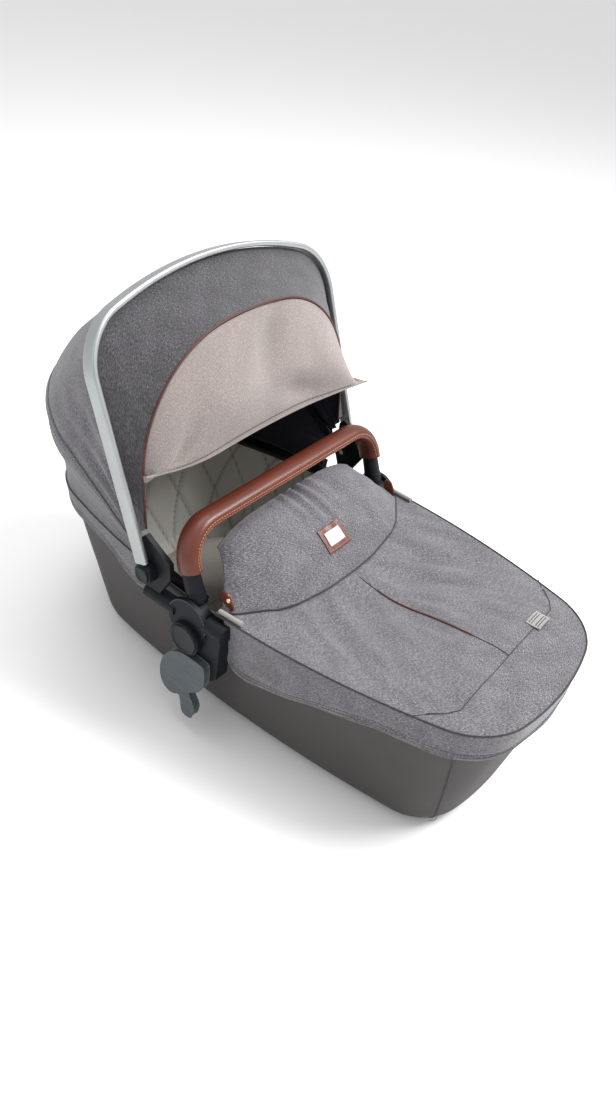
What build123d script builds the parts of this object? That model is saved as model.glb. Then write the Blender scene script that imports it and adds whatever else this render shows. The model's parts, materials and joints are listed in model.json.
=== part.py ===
from build123d import *
import os
from math import asin, atan2, cos, degrees, hypot, radians, sin

# Carrycot of a pram: a lined tub with a folding hood, a foot apron with a wind flap, a carry handle
# and two chassis adapters. Millimetres, +X to the foot end, +Z up, origin under the middle.

# ---- driving dimensions -------------------------------------------------------------------------
length = 852.0
width = 426.0
rim_height = 228.0
foot_height = 6.0

fabric = 4.0
fabric_gap = 0.6
soft_gap = 0.4
seat_gap = 0.3
clear_depth = 60.0

floor_front = 379.0
floor_back = 325.0
floor_width = 350.0

rim_side_bulge = 62.0
floor_side_bulge = 22.0
foot_bulge = 28.0
head_bulge = 36.0
rim_corner_radius = 100.0
floor_corner_radius = 78.0
head_rounding = 18.0

tub_wall = 3.0
tub_top = 220.0
tub_round = 24.0
tub_round_inset = 18.0
tub_round_middle = 8.0
tub_round_middle_inset = 6.0
liner_wall = 5.0
liner_foot_inset = 15.0
board_thickness = 6.0
board_inset = 26.0
mattress_thickness = 32.0
mattress_edge_radius = 12.0

rim_tube_radius = 9.0
rim_tube_height = 216.0
rim_tube_end = 30.0

hood_pivot_x = -99.0
hood_pivot_z = 251.0
bow_angle = 109.7
bow_half_width = 243.0
bow_height = 378.0
bow_thickness = 8.0
bow_width = 22.0
bow_edge_radius = 3.0
bow_corner_radius = 86.0
mid_bow_angle = 146.0
mid_bow_thickness = 4.0
mid_bow_width = 12.0
mid_bow_gap = 1.7
mid_half_width = 224.0
mid_height = 350.0
mid_corner_radius = 120.0
rear_half_width = 212.0
rear_height = 326.0
rear_corner_radius = 150.0
hood_wall = 3.0
hood_foot = 75.0
hood_steps = 3
shell_step = 4.5
front_shell_end = 137.5
mid_shell_start = 136.0
mid_shell_end = 156.0
rear_shell_start = 156.5

fascia_pivot_x = -113.0
fascia_pivot_z = 246.0
fascia_angle = 94.6
fascia_half_width = 218.0
fascia_height = 311.0
fascia_corner_radius = 120.0
fascia_foot = 70.0

visor_edge_x = -85.0
visor_edge_z = 391.0
visor_thickness = 2.5
visor_top_half = 112.0
visor_top_drop = 51.0
visor_waist_half = 158.0
visor_waist_drop = 112.0
visor_half_width = 220.0
visor_sag = 8.0

hinge_pin_radius = 4.0
hinge_eye_radius = 9.0
running_gap = 0.05
knuckle_radius = 15.5
knuckle_inner = 230.0
knuckle_outer = 244.0
hinge_button_radius = 12.0
button_proud = 3.0
button_recess = 5.5
hinge_button_travel = 2.0
bracket_inner = 221.5
bracket_outer = 229.5

handle_pivot_x = -18.7
handle_pivot_z = 211.4
handle_lean = 20.0
handle_half_width = 211.0
handle_height = 122.0
handle_corner_radius = 50.0
handle_tube_radius = 8.0
grip_width = 38.0
grip_thickness = 26.0
grip_start = 66.0
socket_radius = 13.5
socket_start = 20.3
hub_radius = 20.0
hub_inner = 209.0
hub_outer = 224.0
handle_pin_radius = 5.0

housing_x = -26.0
housing_z = 205.0
housing_radius = 34.7
housing_outer = 231.0
housing_leg_inner = 205.4
housing_leg_outer = 228.0
housing_leg_bottom = 118.0
rear_arm_radius = 12.0
rear_arm_y = 222.0
rear_arm_z = 208.0
rear_arm_start = -50.0
rear_arm_end = -108.0
front_arm_radius = 13.5
front_arm_y = 219.5
front_arm_z = 210.0
front_arm_start = 3.0
release_x = -24.0
release_z = 177.0
release_radius = 23.0
release_button_height = 10.0
release_rim = 3.0
release_proud = 7.0
release_travel = 2.5

adapter_outer = 240.0
adapter_top = 150.5

apron_start = 8.0
skirt_start = 36.0
apron_skirt_bottom = 133.0
hood_skirt_start = -118.0
hood_skirt_bottom = 168.0

flap_hinge_z = 274.0
flap_half_width = 194.0
flap_side_drop = 30.0
flap_front_x = 84.0
flap_front_half = 120.0
flap_rear_x = -50.0
flap_rear_z = 298.0
flap_rear_half = 150.0
flap_hinge_gap = 0.6

label_length = 50.0
label_width = 36.0
label_thickness = 1.6
label_x = 43.0
label_corner = 3.0
plate_border = 7.0
plate_thickness = 1.0
tag_length = 33.0
tag_width = 22.0
tag_thickness = 1.2
tag_x = 340.0
tag_y = 92.0

tab_length = 30.0
tab_width = 16.0
tab_thickness = 2.5
tab_turn = 60.0
tab_x = 14.0
stud_radius = 4.0
stud_height = 3.0

foot_radius = 14.0
foot_spacing_x = 440.0
foot_spacing_y = 210.0

# ---- derived values -----------------------------------------------------------------------------
cover = fabric_gap + fabric
frame_half_length = length / 2 - cover
frame_half_width = width / 2 - cover
apron_z = rim_tube_height + rim_tube_radius + soft_gap
apron_top_z = apron_z + fabric
board_z = foot_height + tub_wall
mattress_z = board_z + board_thickness
hub_radius_cut = hub_radius + 1.5
cheek_inner = hub_outer + 1.0
knuckle_button_floor = knuckle_outer - button_recess
release_floor = housing_outer - 0.5
rear_shell_end = 180 + degrees(asin((hood_pivot_z - apron_top_z - seat_gap) / rear_height))
tab_rise = (tab_length - tab_width) / 2 * sin(radians(tab_turn)) + tab_width / 2
tab_z = apron_top_z + seat_gap + tab_rise
tab_inner = flap_half_width + soft_gap
side_names = {"right": -1, "left": 1}

os.makedirs("parts", exist_ok=True)


def save(part, name):
    """Label the finished piece and write it as its own file."""
    part.label = name
    export_step(part, f"parts/{name}.step")


# ---- outlines -----------------------------------------------------------------------------------
def plan_outline(height, inset=0.0):
    """Plan of the cot at a height: four bulged sides, wider towards the rim, with round corners."""
    rise = (height - foot_height) / (rim_height - foot_height)
    front = floor_front + rise * (frame_half_length - floor_front) - inset
    back = floor_back + rise * (frame_half_length - floor_back) - inset
    half = floor_width / 2 + rise * (frame_half_width - floor_width / 2) - inset
    front_x = front - foot_bulge
    back_x = -back + head_bulge
    corner_y = half - floor_side_bulge - rise * (rim_side_bulge - floor_side_bulge)
    corner_radius = floor_corner_radius + rise * (rim_corner_radius - floor_corner_radius) - inset
    with BuildSketch(Plane.XY.offset(height)) as outline:
        with BuildLine():
            ThreePointArc((back_x, -corner_y), (0, -half), (front_x, -corner_y))
            ThreePointArc((front_x, -corner_y), (front, 0), (front_x, corner_y))
            ThreePointArc((front_x, corner_y), (0, half), (back_x, corner_y))
            ThreePointArc((back_x, corner_y), (-back, 0), (back_x, -corner_y))
        make_face()
        fillet(outline.vertices().group_by(Axis.X)[-1], corner_radius)
        fillet(outline.vertices().group_by(Axis.X)[0], corner_radius + head_rounding)
    return outline.sketch


def plan_path(height, inset):
    """The closed edge of the plan outline, as a wire to follow."""
    return plan_outline(height, inset).face().outer_wire()


def radial_plane(angle, x=hood_pivot_x, z=hood_pivot_z):
    """Plane through a pivot line along Y whose own y axis points out at an angle from +X."""
    turn = radians(angle)
    return Plane(origin=(x, 0, z), x_dir=(0, 1, 0), z_dir=(sin(turn), 0, -cos(turn)))


def arch_outline(plane, half_width, height, corner, foot):
    """Arch with straight legs, rounded shoulders and a shallow crown, closed along its foot."""
    crown = half_width**2 / (3 * height)
    with BuildSketch(plane) as arch:
        with BuildLine():
            Line((-half_width, foot), (-half_width, height - crown))
            ThreePointArc((-half_width, height - crown), (0, height), (half_width, height - crown))
            Line((half_width, height - crown), (half_width, foot))
            Line((half_width, foot), (-half_width, foot))
        make_face()
        fillet(arch.vertices().group_by(Axis.Y)[-1], corner)
    return arch.sketch


def arch_ring(plane, half_width, height, corner, foot, wall):
    """Arch outline with a smaller arch taken out of it, which leaves a bow or a wall."""
    outer = arch_outline(plane, half_width, height, corner, foot)
    return outer - arch_outline(plane, half_width - wall, height - wall, corner - wall, foot - wall)


def block_xz(points):
    """Closed outline in the side view, drawn from its corners."""
    with BuildSketch(Plane.XZ) as outline:
        with BuildLine():
            Polyline(*points, close=True)
        make_face()
    return outline.sketch


def side_disc(x, z, radius, start, depth, side):
    """Disc on the XZ plane that starts at a distance from the middle and grows outwards."""
    plane = Plane(origin=(x, side * start, z), x_dir=(1, 0, 0), z_dir=(0, side, 0))
    with BuildPart(mode=Mode.PRIVATE) as disc:
        with BuildSketch(plane):
            Circle(radius)
        extrude(amount=depth)
    return disc.part


# ---- tub ----------------------------------------------------------------------------------------
with BuildPart() as tub_shell:
    outer = [
        (foot_height, tub_round_inset),
        (foot_height + tub_round_middle, tub_round_middle_inset),
        (foot_height + tub_round, 0),
        (tub_top, 0),
    ]
    loft(sections=[plan_outline(z, inset) for z, inset in outer], ruled=True)
    inner = [(z + tub_wall, inset + tub_wall) for z, inset in outer]
    loft(sections=[plan_outline(z, inset) for z, inset in inner], ruled=True, mode=Mode.SUBTRACT)
save(tub_shell.part, "tub_shell")

with BuildPart() as rubber_feet:
    with BuildSketch(Plane.XY):
        with GridLocations(foot_spacing_x, foot_spacing_y, 2, 2):
            Circle(foot_radius)
    extrude(amount=foot_height)
    fillet(rubber_feet.edges().group_by(Axis.Z)[0], 2)
save(rubber_feet.part, "rubber_feet")

with BuildPart() as base_board:
    add(plan_outline(board_z, board_inset))
    extrude(amount=board_thickness)
save(base_board.part, "base_board")

with BuildPart() as mattress:
    add(plan_outline(mattress_z, board_inset))
    extrude(amount=mattress_thickness)
    fillet(mattress.edges().group_by(Axis.Z)[-1], mattress_edge_radius)
save(mattress.part, "mattress")

with BuildPart() as liner:
    skin = tub_wall + fabric_gap
    liner_top = rim_tube_height - rim_tube_radius - soft_gap
    foot_inset = liner_foot_inset + fabric_gap
    levels = [(mattress_z, foot_inset), (board_z + tub_round, skin), (liner_top, skin)]
    loft(sections=[plan_outline(z, inset) for z, inset in levels], ruled=True)
    hollow = [
        (mattress_z - 1, foot_inset + liner_wall),
        (board_z + tub_round, skin + liner_wall),
        (liner_top + 1, skin + liner_wall),
    ]
    loft(sections=[plan_outline(z, inset) for z, inset in hollow], ruled=True, mode=Mode.SUBTRACT)
save(liner.part, "liner")


# ---- rim tube -----------------------------------------------------------------------------------
rim_tube_inset = tub_wall + rim_tube_radius + fabric_gap + soft_gap


def rim_tube(name, side):
    """Half of the rim tube: the closed ring, cut off square behind its end at the housings."""
    with BuildPart() as tube:
        path = plan_path(rim_tube_height, rim_tube_inset)
        with BuildSketch(Plane(origin=path @ 0, z_dir=path % 0)):
            Circle(rim_tube_radius)
        sweep(path=path)
        cut_centre = (-side * (length / 2 - rim_tube_end), 0, rim_tube_height)
        with Locations(cut_centre):
            Box(length, width, 4 * rim_tube_radius, mode=Mode.SUBTRACT)
    save(tube.part, name)


rim_tube("rim_tube_foot", 1)
rim_tube("rim_tube_head", -1)


# ---- hood ---------------------------------------------------------------------------------------
def hood_shell(name, start, end):
    """Part of the canopy: walls of arches that change evenly from one angle to another."""
    with BuildPart() as shell:
        for wall, mode in ((0, Mode.ADD), (hood_wall, Mode.SUBTRACT)):
            arches = []
            for step in range(hood_steps + 1):
                share = step / hood_steps
                angle, half, height, corner = [a + share * (b - a) for a, b in zip(start, end)]
                plane = radial_plane(angle)
                foot = hood_foot - wall
                arches.append(arch_outline(plane, half - wall, height - wall, corner - wall, foot))
            loft(sections=arches, ruled=True, mode=mode)
    save(shell.part, name)


bow_inner_half = bow_half_width - bow_thickness
bow_inner_height = bow_height - bow_thickness
bow_inner_corner = bow_corner_radius - bow_thickness
front_arch = (bow_angle, bow_inner_half - soft_gap, bow_inner_height - soft_gap, bow_inner_corner)
mid_arch = (mid_shell_start, mid_half_width, mid_height, mid_corner_radius)
mid_end_arch = (mid_shell_end, mid_half_width - 2, rear_height + 14.5, mid_corner_radius + 15)
rear_arch = (rear_shell_start, rear_half_width, rear_height + 6, rear_corner_radius)
hood_shell(
    "hood_front_shell",
    front_arch,
    (front_shell_end, mid_half_width + shell_step, mid_height + shell_step + 1, mid_corner_radius),
)
hood_shell("hood_mid_shell", mid_arch, mid_end_arch)
hood_shell(
    "hood_rear_shell",
    rear_arch,
    (rear_shell_end, rear_half_width, rear_height, rear_corner_radius + 20),
)

with BuildPart() as front_bow:
    bow_foot = knuckle_radius + soft_gap
    ring = arch_ring(
        radial_plane(bow_angle), bow_half_width, bow_height, bow_corner_radius, bow_foot, bow_thickness
    )
    extrude(ring, amount=bow_width / 2, both=True)
    bow_normal = radial_plane(bow_angle).z_dir
    sides = front_bow.faces().filter_by(lambda f: abs(f.normal_at().dot(bow_normal)) > 0.99)
    fillet(sides.edges().filter_by(lambda e: e.length > bow_width), bow_edge_radius)
save(front_bow.part, "front_bow")

# The mid bow lies just inside the middle shell, so its arch is the shell's at the bow's own angle.
bow_share = (mid_bow_angle - mid_shell_start) / (mid_shell_end - mid_shell_start)
shell_there = [a + bow_share * (b - a) for a, b in zip(mid_arch, mid_end_arch)]
strap_half = shell_there[1] - hood_wall - mid_bow_gap
strap_height = shell_there[2] - hood_wall - mid_bow_gap
strap_corner = shell_there[3] - hood_wall

with BuildPart() as mid_bow:
    ring = arch_ring(
        radial_plane(mid_bow_angle), strap_half, strap_height, strap_corner, 0, mid_bow_thickness
    )
    extrude(ring, amount=mid_bow_width / 2, both=True)
    for side in side_names.values():
        eye_start = strap_half - mid_bow_thickness
        eye = side_disc(
            hood_pivot_x, hood_pivot_z, hinge_eye_radius, eye_start, mid_bow_thickness, side
        )
        add(eye)
        hole_radius = hinge_pin_radius + running_gap
        hole_depth = mid_bow_thickness + 2
        hole = side_disc(hood_pivot_x, hood_pivot_z, hole_radius, eye_start - 1, hole_depth, side)
        add(hole, mode=Mode.SUBTRACT)
save(mid_bow.part, "mid_bow")

with BuildPart() as fascia:
    bow_plane = radial_plane(bow_angle)
    front_plane = radial_plane(fascia_angle, fascia_pivot_x, fascia_pivot_z)
    for wall, mode in ((0, Mode.ADD), (hood_wall, Mode.SUBTRACT)):
        back = arch_outline(
            bow_plane,
            bow_inner_half - soft_gap - wall,
            bow_inner_height - soft_gap - wall,
            bow_inner_corner - wall,
            fascia_foot - wall,
        )
        front = arch_outline(
            front_plane,
            fascia_half_width - wall,
            fascia_height - wall,
            fascia_corner_radius - wall,
            fascia_foot - wall,
        )
        loft(sections=[back, front], ruled=True, mode=mode)
save(fascia.part, "fascia")

# The visor hangs from the top of the fascia's front arch down to a straight free edge.
visor_turn = radians(fascia_angle)
visor_top_x = fascia_pivot_x + (fascia_height - hood_wall) * cos(visor_turn) + soft_gap
visor_top_z = fascia_pivot_z + (fascia_height - hood_wall) * sin(visor_turn)
visor_drop = hypot(visor_edge_x - visor_top_x, visor_top_z - visor_edge_z)
visor_angle = degrees(atan2(visor_top_z - visor_edge_z, visor_top_x - visor_edge_x))
visor_plane = radial_plane(visor_angle, visor_top_x, visor_top_z)

with BuildPart() as visor:
    with BuildSketch(visor_plane):
        with BuildLine():
            top_left = (-visor_top_half, -visor_top_drop)
            top_right = (visor_top_half, -visor_top_drop)
            corner_left = (-visor_half_width, -visor_drop)
            corner_right = (visor_half_width, -visor_drop)
            ThreePointArc(top_left, (0, 0), top_right)
            Line(top_right, (visor_waist_half, -visor_waist_drop))
            Line((visor_waist_half, -visor_waist_drop), corner_right)
            ThreePointArc(corner_right, (0, -visor_drop - visor_sag), corner_left)
            Line(corner_left, (-visor_waist_half, -visor_waist_drop))
            Line((-visor_waist_half, -visor_waist_drop), top_left)
        make_face()
    extrude(amount=visor_thickness)
save(visor.part, "visor")


def skirt(name, bottom, hem):
    """Band of cloth outside the rim, cut to its hem line by taking away what is under it."""
    with BuildPart() as band:
        for inset, mode in ((-cover, Mode.ADD), (-fabric_gap, Mode.SUBTRACT)):
            edges = [plan_outline(z, inset) for z in (bottom, apron_top_z)]
            loft(sections=edges, ruled=True, mode=mode)
        extrude(block_xz(hem), amount=width, both=True, mode=Mode.SUBTRACT)
    save(band.part, name)


far = length
hood_hem = [
    (-far, -1),
    (-far, 200),
    (-230, 198),
    (-205, 182),
    (-185, 172),
    (-160, 169),
    (-137, 174),
    (-122, 190),
    (hood_skirt_start, 204),
    (hood_skirt_start, far),
    (far, far),
    (far, -1),
]
apron_hem = [
    (far, -1),
    (far, 184),
    (258, 184),
    (176, 163),
    (133, 147),
    (64, 134),
    (50, 136),
    (40, 146),
    (skirt_start, 164),
    (skirt_start, far),
    (-far, far),
    (-far, -1),
]
skirt("hood_skirt", hood_skirt_bottom, hood_hem)
skirt("apron_skirt", apron_skirt_bottom, apron_hem)

# ---- hood hinges --------------------------------------------------------------------------------
with BuildPart() as hood_hinge_pins:
    for side in side_names.values():
        pin_start = strap_half - mid_bow_thickness - 1
        pin_depth = knuckle_button_floor - 1 - pin_start
        add(side_disc(hood_pivot_x, hood_pivot_z, hinge_pin_radius, pin_start, pin_depth, side))
save(hood_hinge_pins.part, "hood_hinge_pins")

bracket_bottom = rear_arm_z + rear_arm_radius + soft_gap / 2
bracket_points = [
    (rear_arm_end, bracket_bottom),
    (-116, 240),
    (-116, 298),
    (-108, 307),
    (-62, 280),
    (-60, 256),
    (-80, bracket_bottom),
]
for name, side in side_names.items():
    with BuildPart() as hinge_bracket:
        extrude(block_xz(bracket_points), amount=bracket_outer, both=True)
        with Locations((hood_pivot_x, 0, hood_pivot_z)):
            Box(200, 2 * bracket_inner, 200, mode=Mode.SUBTRACT)
        split(bisect_by=Plane.XZ, keep=Keep.BOTTOM if side > 0 else Keep.TOP)
        pin_hole = side_disc(hood_pivot_x, hood_pivot_z, hinge_pin_radius, bracket_inner - 1, 10, side)
        add(pin_hole, mode=Mode.SUBTRACT)
    save(hinge_bracket.part, f"hinge_bracket_{name}")

    with BuildPart() as knuckle:
        depth = knuckle_outer - knuckle_inner
        add(side_disc(hood_pivot_x, hood_pivot_z, knuckle_radius, knuckle_inner, depth, side))
        chamfer(knuckle.edges().group_by(Axis.Y)[-1 if side > 0 else 0], 1)
        bore_radius = hinge_pin_radius + running_gap
        bore = side_disc(
            hood_pivot_x, hood_pivot_z, bore_radius, knuckle_inner - 1, clear_depth, side
        )
        add(bore, mode=Mode.SUBTRACT)
        recess_radius = hinge_button_radius + soft_gap
        recess = side_disc(
            hood_pivot_x, hood_pivot_z, recess_radius, knuckle_button_floor, clear_depth, side
        )
        add(recess, mode=Mode.SUBTRACT)
    save(knuckle.part, f"hood_knuckle_{name}")

    with BuildPart() as hinge_button:
        start = knuckle_button_floor + hinge_button_travel + soft_gap
        depth = knuckle_outer + button_proud - start
        add(side_disc(hood_pivot_x, hood_pivot_z, hinge_button_radius, start, depth, side))
        fillet(hinge_button.edges().group_by(Axis.Y)[-1 if side > 0 else 0], 1)
    save(hinge_button.part, f"hinge_button_{name}")

# ---- housings, release buttons and adapters -----------------------------------------------------
leg_points = [
    (-40, 190),
    (front_arm_start, 190),
    (front_arm_start, 204),
    (33, 204),
    (30, 128),
    (20, housing_leg_bottom),
    (-24, housing_leg_bottom),
    (-40, 135),
]
adapter_points = [
    (-42, adapter_top),
    (11, adapter_top),
    (18, 121),
    (17, 93),
    (-9, 83),
    (-5, 38),
    (-21, 31),
    (-43, 45),
    (-63, 79),
    (-65, 103),
]
for name, side in side_names.items():
    with BuildPart() as housing:
        add(side_disc(housing_x, housing_z, housing_radius, cheek_inner, housing_outer - cheek_inner, side))
        rim_depth = housing_outer + release_proud - cheek_inner
        add(side_disc(release_x, release_z, release_radius + release_rim, cheek_inner, rim_depth, side))
        extrude(block_xz(leg_points), amount=-side * housing_leg_outer)
        with Locations((0, 0, housing_z)):
            Box(200, 2 * housing_leg_inner, 400, mode=Mode.SUBTRACT)
        rear_arm = Plane(origin=(rear_arm_start, side * rear_arm_y, rear_arm_z), z_dir=(-1, 0, 0))
        with BuildSketch(rear_arm):
            Circle(rear_arm_radius)
        extrude(amount=rear_arm_start - rear_arm_end)
        front_arm = Plane(origin=(front_arm_start, side * front_arm_y, front_arm_z), z_dir=(1, 0, 0))
        with BuildSketch(front_arm):
            Circle(front_arm_radius)
        extrude(amount=skirt_start - front_arm_start - soft_gap)
        recess_radius = release_radius + soft_gap
        recess = side_disc(release_x, release_z, recess_radius, release_floor, clear_depth, side)
        add(recess, mode=Mode.SUBTRACT)
        hub_start = housing_leg_inner - 1
        hub_depth = cheek_inner - hub_start
        hub_space = side_disc(
            handle_pivot_x, handle_pivot_z, hub_radius_cut, hub_start, hub_depth, side
        )
        add(hub_space, mode=Mode.SUBTRACT)
        pin_seat = side_disc(handle_pivot_x, handle_pivot_z, handle_pin_radius, cheek_inner - 1, 5, side)
        add(pin_seat, mode=Mode.SUBTRACT)
    save(housing.part, f"housing_{name}")

    with BuildPart() as release_button:
        start = release_floor + release_travel + soft_gap
        depth = housing_outer + release_button_height - start
        add(side_disc(release_x, release_z, release_radius, start, depth, side))
        fillet(release_button.edges().group_by(Axis.Y)[-1 if side > 0 else 0], 2)
    save(release_button.part, f"release_button_{name}")

    with BuildPart() as adapter:
        extrude(block_xz(adapter_points), amount=-side * adapter_outer)
        with Locations((0, 0, adapter_top / 2)):
            Box(200, 2 * housing_leg_outer, 400, mode=Mode.SUBTRACT)
    save(adapter.part, f"adapter_{name}")

with BuildPart() as handle_pivot_pins:
    for side in side_names.values():
        pin_start = hub_inner - 0.5
        pin_depth = cheek_inner + 4 - pin_start
        add(side_disc(handle_pivot_x, handle_pivot_z, handle_pin_radius, pin_start, pin_depth, side))
save(handle_pivot_pins.part, "handle_pivot_pins")

# ---- carry handle -------------------------------------------------------------------------------
handle_plane = radial_plane(90 + handle_lean, handle_pivot_x, handle_pivot_z)


def handle_path(start):
    """Centre line of the carry handle: two legs, two round corners and a straight bar."""
    with BuildLine(handle_plane) as path:
        FilletPolyline(
            (-handle_half_width, start),
            (-handle_half_width, handle_height),
            (handle_half_width, handle_height),
            (handle_half_width, start),
            radius=handle_corner_radius,
        )
    return path.wire()


def handle_section(path):
    """Plane across the handle's centre line at its first end."""
    return Plane(origin=path @ 0, x_dir=handle_plane.z_dir, z_dir=path % 0)


with BuildPart() as handle_tube:
    path = handle_path(socket_start + 6)
    with BuildSketch(handle_section(path)):
        Circle(handle_tube_radius)
    sweep(path=path)
save(handle_tube.part, "handle_tube")

with BuildPart() as handle_grip:
    path = handle_path(grip_start)
    with BuildSketch(handle_section(path)):
        Ellipse(grip_width / 2, grip_thickness / 2)
        Circle(handle_tube_radius + 0.1, mode=Mode.SUBTRACT)
    sweep(path=path)
save(handle_grip.part, "handle_grip")

for name, side in side_names.items():
    leg_foot = handle_plane.from_local_coords((side * handle_half_width, 0, 0))
    leg_up = handle_plane.y_dir
    with BuildPart() as socket:
        with BuildSketch(Plane(origin=leg_foot + leg_up * socket_start, z_dir=leg_up)):
            Circle(socket_radius)
        extrude(amount=grip_start - soft_gap - socket_start, taper=1.5)
        with BuildSketch(Plane(origin=leg_foot + leg_up * (socket_start + 5), z_dir=leg_up)):
            Circle(handle_tube_radius + 0.1)
        extrude(amount=handle_height / 2, mode=Mode.SUBTRACT)
    save(socket.part, f"handle_socket_{name}")

    with BuildPart() as hub:
        add(side_disc(handle_pivot_x, handle_pivot_z, hub_radius, hub_inner, hub_outer - hub_inner, side))
        bore_radius = handle_pin_radius + running_gap
        bore = side_disc(
            handle_pivot_x, handle_pivot_z, bore_radius, hub_inner - 1, clear_depth, side
        )
        add(bore, mode=Mode.SUBTRACT)
    save(hub.part, f"handle_hub_{name}")

# ---- apron and wind flap ------------------------------------------------------------------------
with BuildPart() as apron_top:
    add(plan_outline(apron_z, soft_gap - fabric_gap))
    extrude(amount=fabric)
    with Locations((apron_start - far / 2, 0, apron_z)):
        Box(far, width, 4 * fabric, mode=Mode.SUBTRACT)
save(apron_top.part, "apron_top")


def flap_section(x, half_width, crown_z, end_z):
    """Cross-section of the wind flap: a shallow arc of cloth of even thickness."""
    with BuildSketch(Plane(origin=(x, 0, 0), x_dir=(0, 1, 0), z_dir=(1, 0, 0))) as section:
        with BuildLine():
            ThreePointArc((-half_width, end_z), (0, crown_z), (half_width, end_z))
            Line((half_width, end_z), (half_width, end_z - fabric))
            under_z = end_z - fabric
            ThreePointArc((half_width, under_z), (0, crown_z - fabric), (-half_width, under_z))
            Line((-half_width, under_z), (-half_width, end_z))
        make_face()
    return section.sketch


flap_foot_z = apron_top_z + soft_gap + fabric
with BuildPart() as wind_flap_base:
    rear = flap_section(flap_hinge_gap / 2, flap_half_width, flap_hinge_z, flap_hinge_z - flap_side_drop)
    front = flap_section(flap_front_x, flap_front_half, flap_foot_z + 0.2, flap_foot_z)
    loft(sections=[rear, front], ruled=True)
save(wind_flap_base.part, "wind_flap_base")

with BuildPart() as wind_flap:
    rear = flap_section(flap_rear_x, flap_rear_half, flap_rear_z, flap_rear_z - 2)
    front = flap_section(-flap_hinge_gap / 2, flap_half_width, flap_hinge_z, flap_hinge_z - flap_side_drop)
    loft(sections=[rear, front], ruled=True)
save(wind_flap.part, "wind_flap")

flap_slope = degrees(atan2(flap_hinge_z - flap_foot_z, flap_front_x))
label_z = flap_hinge_z - label_x * (flap_hinge_z - flap_foot_z) / flap_front_x + soft_gap
label_normal = (sin(radians(flap_slope)), 0, cos(radians(flap_slope)))
label_plane = Plane(origin=(label_x, 0, label_z), x_dir=(0, 1, 0), z_dir=label_normal)

with BuildPart() as flap_label:
    with BuildSketch(label_plane):
        RectangleRounded(label_length, label_width, label_corner)
    extrude(amount=label_thickness)
save(flap_label.part, "flap_label")

with BuildPart() as label_plate:
    with BuildSketch(label_plane.offset(label_thickness)):
        RectangleRounded(label_length - 2 * plate_border, label_width - 2 * plate_border, 1)
    extrude(amount=plate_thickness)
save(label_plate.part, "label_plate")

with BuildPart() as edge_tag:
    with BuildSketch(Plane.XY.offset(apron_top_z)):
        with Locations((tag_x, tag_y)):
            RectangleRounded(tag_width, tag_length, 1)
    extrude(amount=tag_thickness)
save(edge_tag.part, "edge_tag")

with BuildPart() as snap_tabs:
    for side in side_names.values():
        plane = Plane(origin=(tab_x, side * tab_inner, tab_z), x_dir=(1, 0, 0), z_dir=(0, side, 0))
        with BuildSketch(plane):
            SlotOverall(tab_length, tab_width, rotation=tab_turn * side)
        extrude(amount=tab_thickness)
save(snap_tabs.part, "snap_tabs")

with BuildPart() as tab_studs:
    for side in side_names.values():
        stud_start = tab_inner + tab_thickness
        add(side_disc(tab_x + 2, tab_z + 4, stud_radius, stud_start, stud_height, side))
save(tab_studs.part, "tab_studs")
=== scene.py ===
"""Soft goods, stitching and finishes of a pram carrycot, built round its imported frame."""

import json
import math

import bmesh
import bpy
import numpy as np
from bpy.props import FloatProperty, FloatVectorProperty, PointerProperty
from mathutils import Matrix, Vector


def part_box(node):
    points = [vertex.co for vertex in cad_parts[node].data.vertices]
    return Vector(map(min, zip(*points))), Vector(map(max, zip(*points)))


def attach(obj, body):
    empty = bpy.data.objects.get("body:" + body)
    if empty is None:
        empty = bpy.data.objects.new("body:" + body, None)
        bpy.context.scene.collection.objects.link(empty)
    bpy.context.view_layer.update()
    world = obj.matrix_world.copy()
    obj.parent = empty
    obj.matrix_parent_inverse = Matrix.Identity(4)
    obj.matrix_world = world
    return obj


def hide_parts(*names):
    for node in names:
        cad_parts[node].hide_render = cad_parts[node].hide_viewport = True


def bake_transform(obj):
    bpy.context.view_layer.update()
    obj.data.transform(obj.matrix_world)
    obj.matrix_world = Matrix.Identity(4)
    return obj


bl_info = {
    "name": "Pram Carrycot",
    "version": (1, 0, 0),
    "blender": (4, 5, 0),
    "location": "View3D > Sidebar > Carrycot",
    "description": "Builds the cloth, leather, stitching and finishes of a pram carrycot",
    "category": "Object",
}

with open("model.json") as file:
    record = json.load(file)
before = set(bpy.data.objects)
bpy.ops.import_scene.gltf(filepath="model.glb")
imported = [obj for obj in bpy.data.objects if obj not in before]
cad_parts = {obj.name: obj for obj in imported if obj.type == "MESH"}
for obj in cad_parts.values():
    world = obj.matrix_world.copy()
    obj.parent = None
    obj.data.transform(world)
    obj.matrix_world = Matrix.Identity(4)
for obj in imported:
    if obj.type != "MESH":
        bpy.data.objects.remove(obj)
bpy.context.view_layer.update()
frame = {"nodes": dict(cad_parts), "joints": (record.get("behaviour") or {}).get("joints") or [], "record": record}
nodes = frame["nodes"]
joints = {j["name"]: j for j in frame["joints"]}
sides = {"right": -1, "left": 1}

# Lines that the joints turn on, in metres.
hood_pivot = np.array(joints["hood_fold"]["pos_m"])
handle_pivot = np.array(joints["handle_swing"]["pos_m"])
fascia_pivot = np.array([-0.113, 0.0, 0.246])

# Planes through those lines, in degrees from +X.
fascia_angle = 94.6
bow_angle = 109.7
handle_angle = 110.0
mid_angle = 146.0
tuck_angle = 152.0
rear_angle = 184.0

# Heights of the tub and how far cloth stands outside its outline, in metres.
tub_floor = 0.006
tub_height = 0.222
tub_top = 0.2185
skirt_low = 0.16
rim_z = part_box("apron_top")[1].z
skirt_out = 0.0046
apron_rear, apron_front = 0.008, 0.421
hood_tuck_x = -0.125

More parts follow.
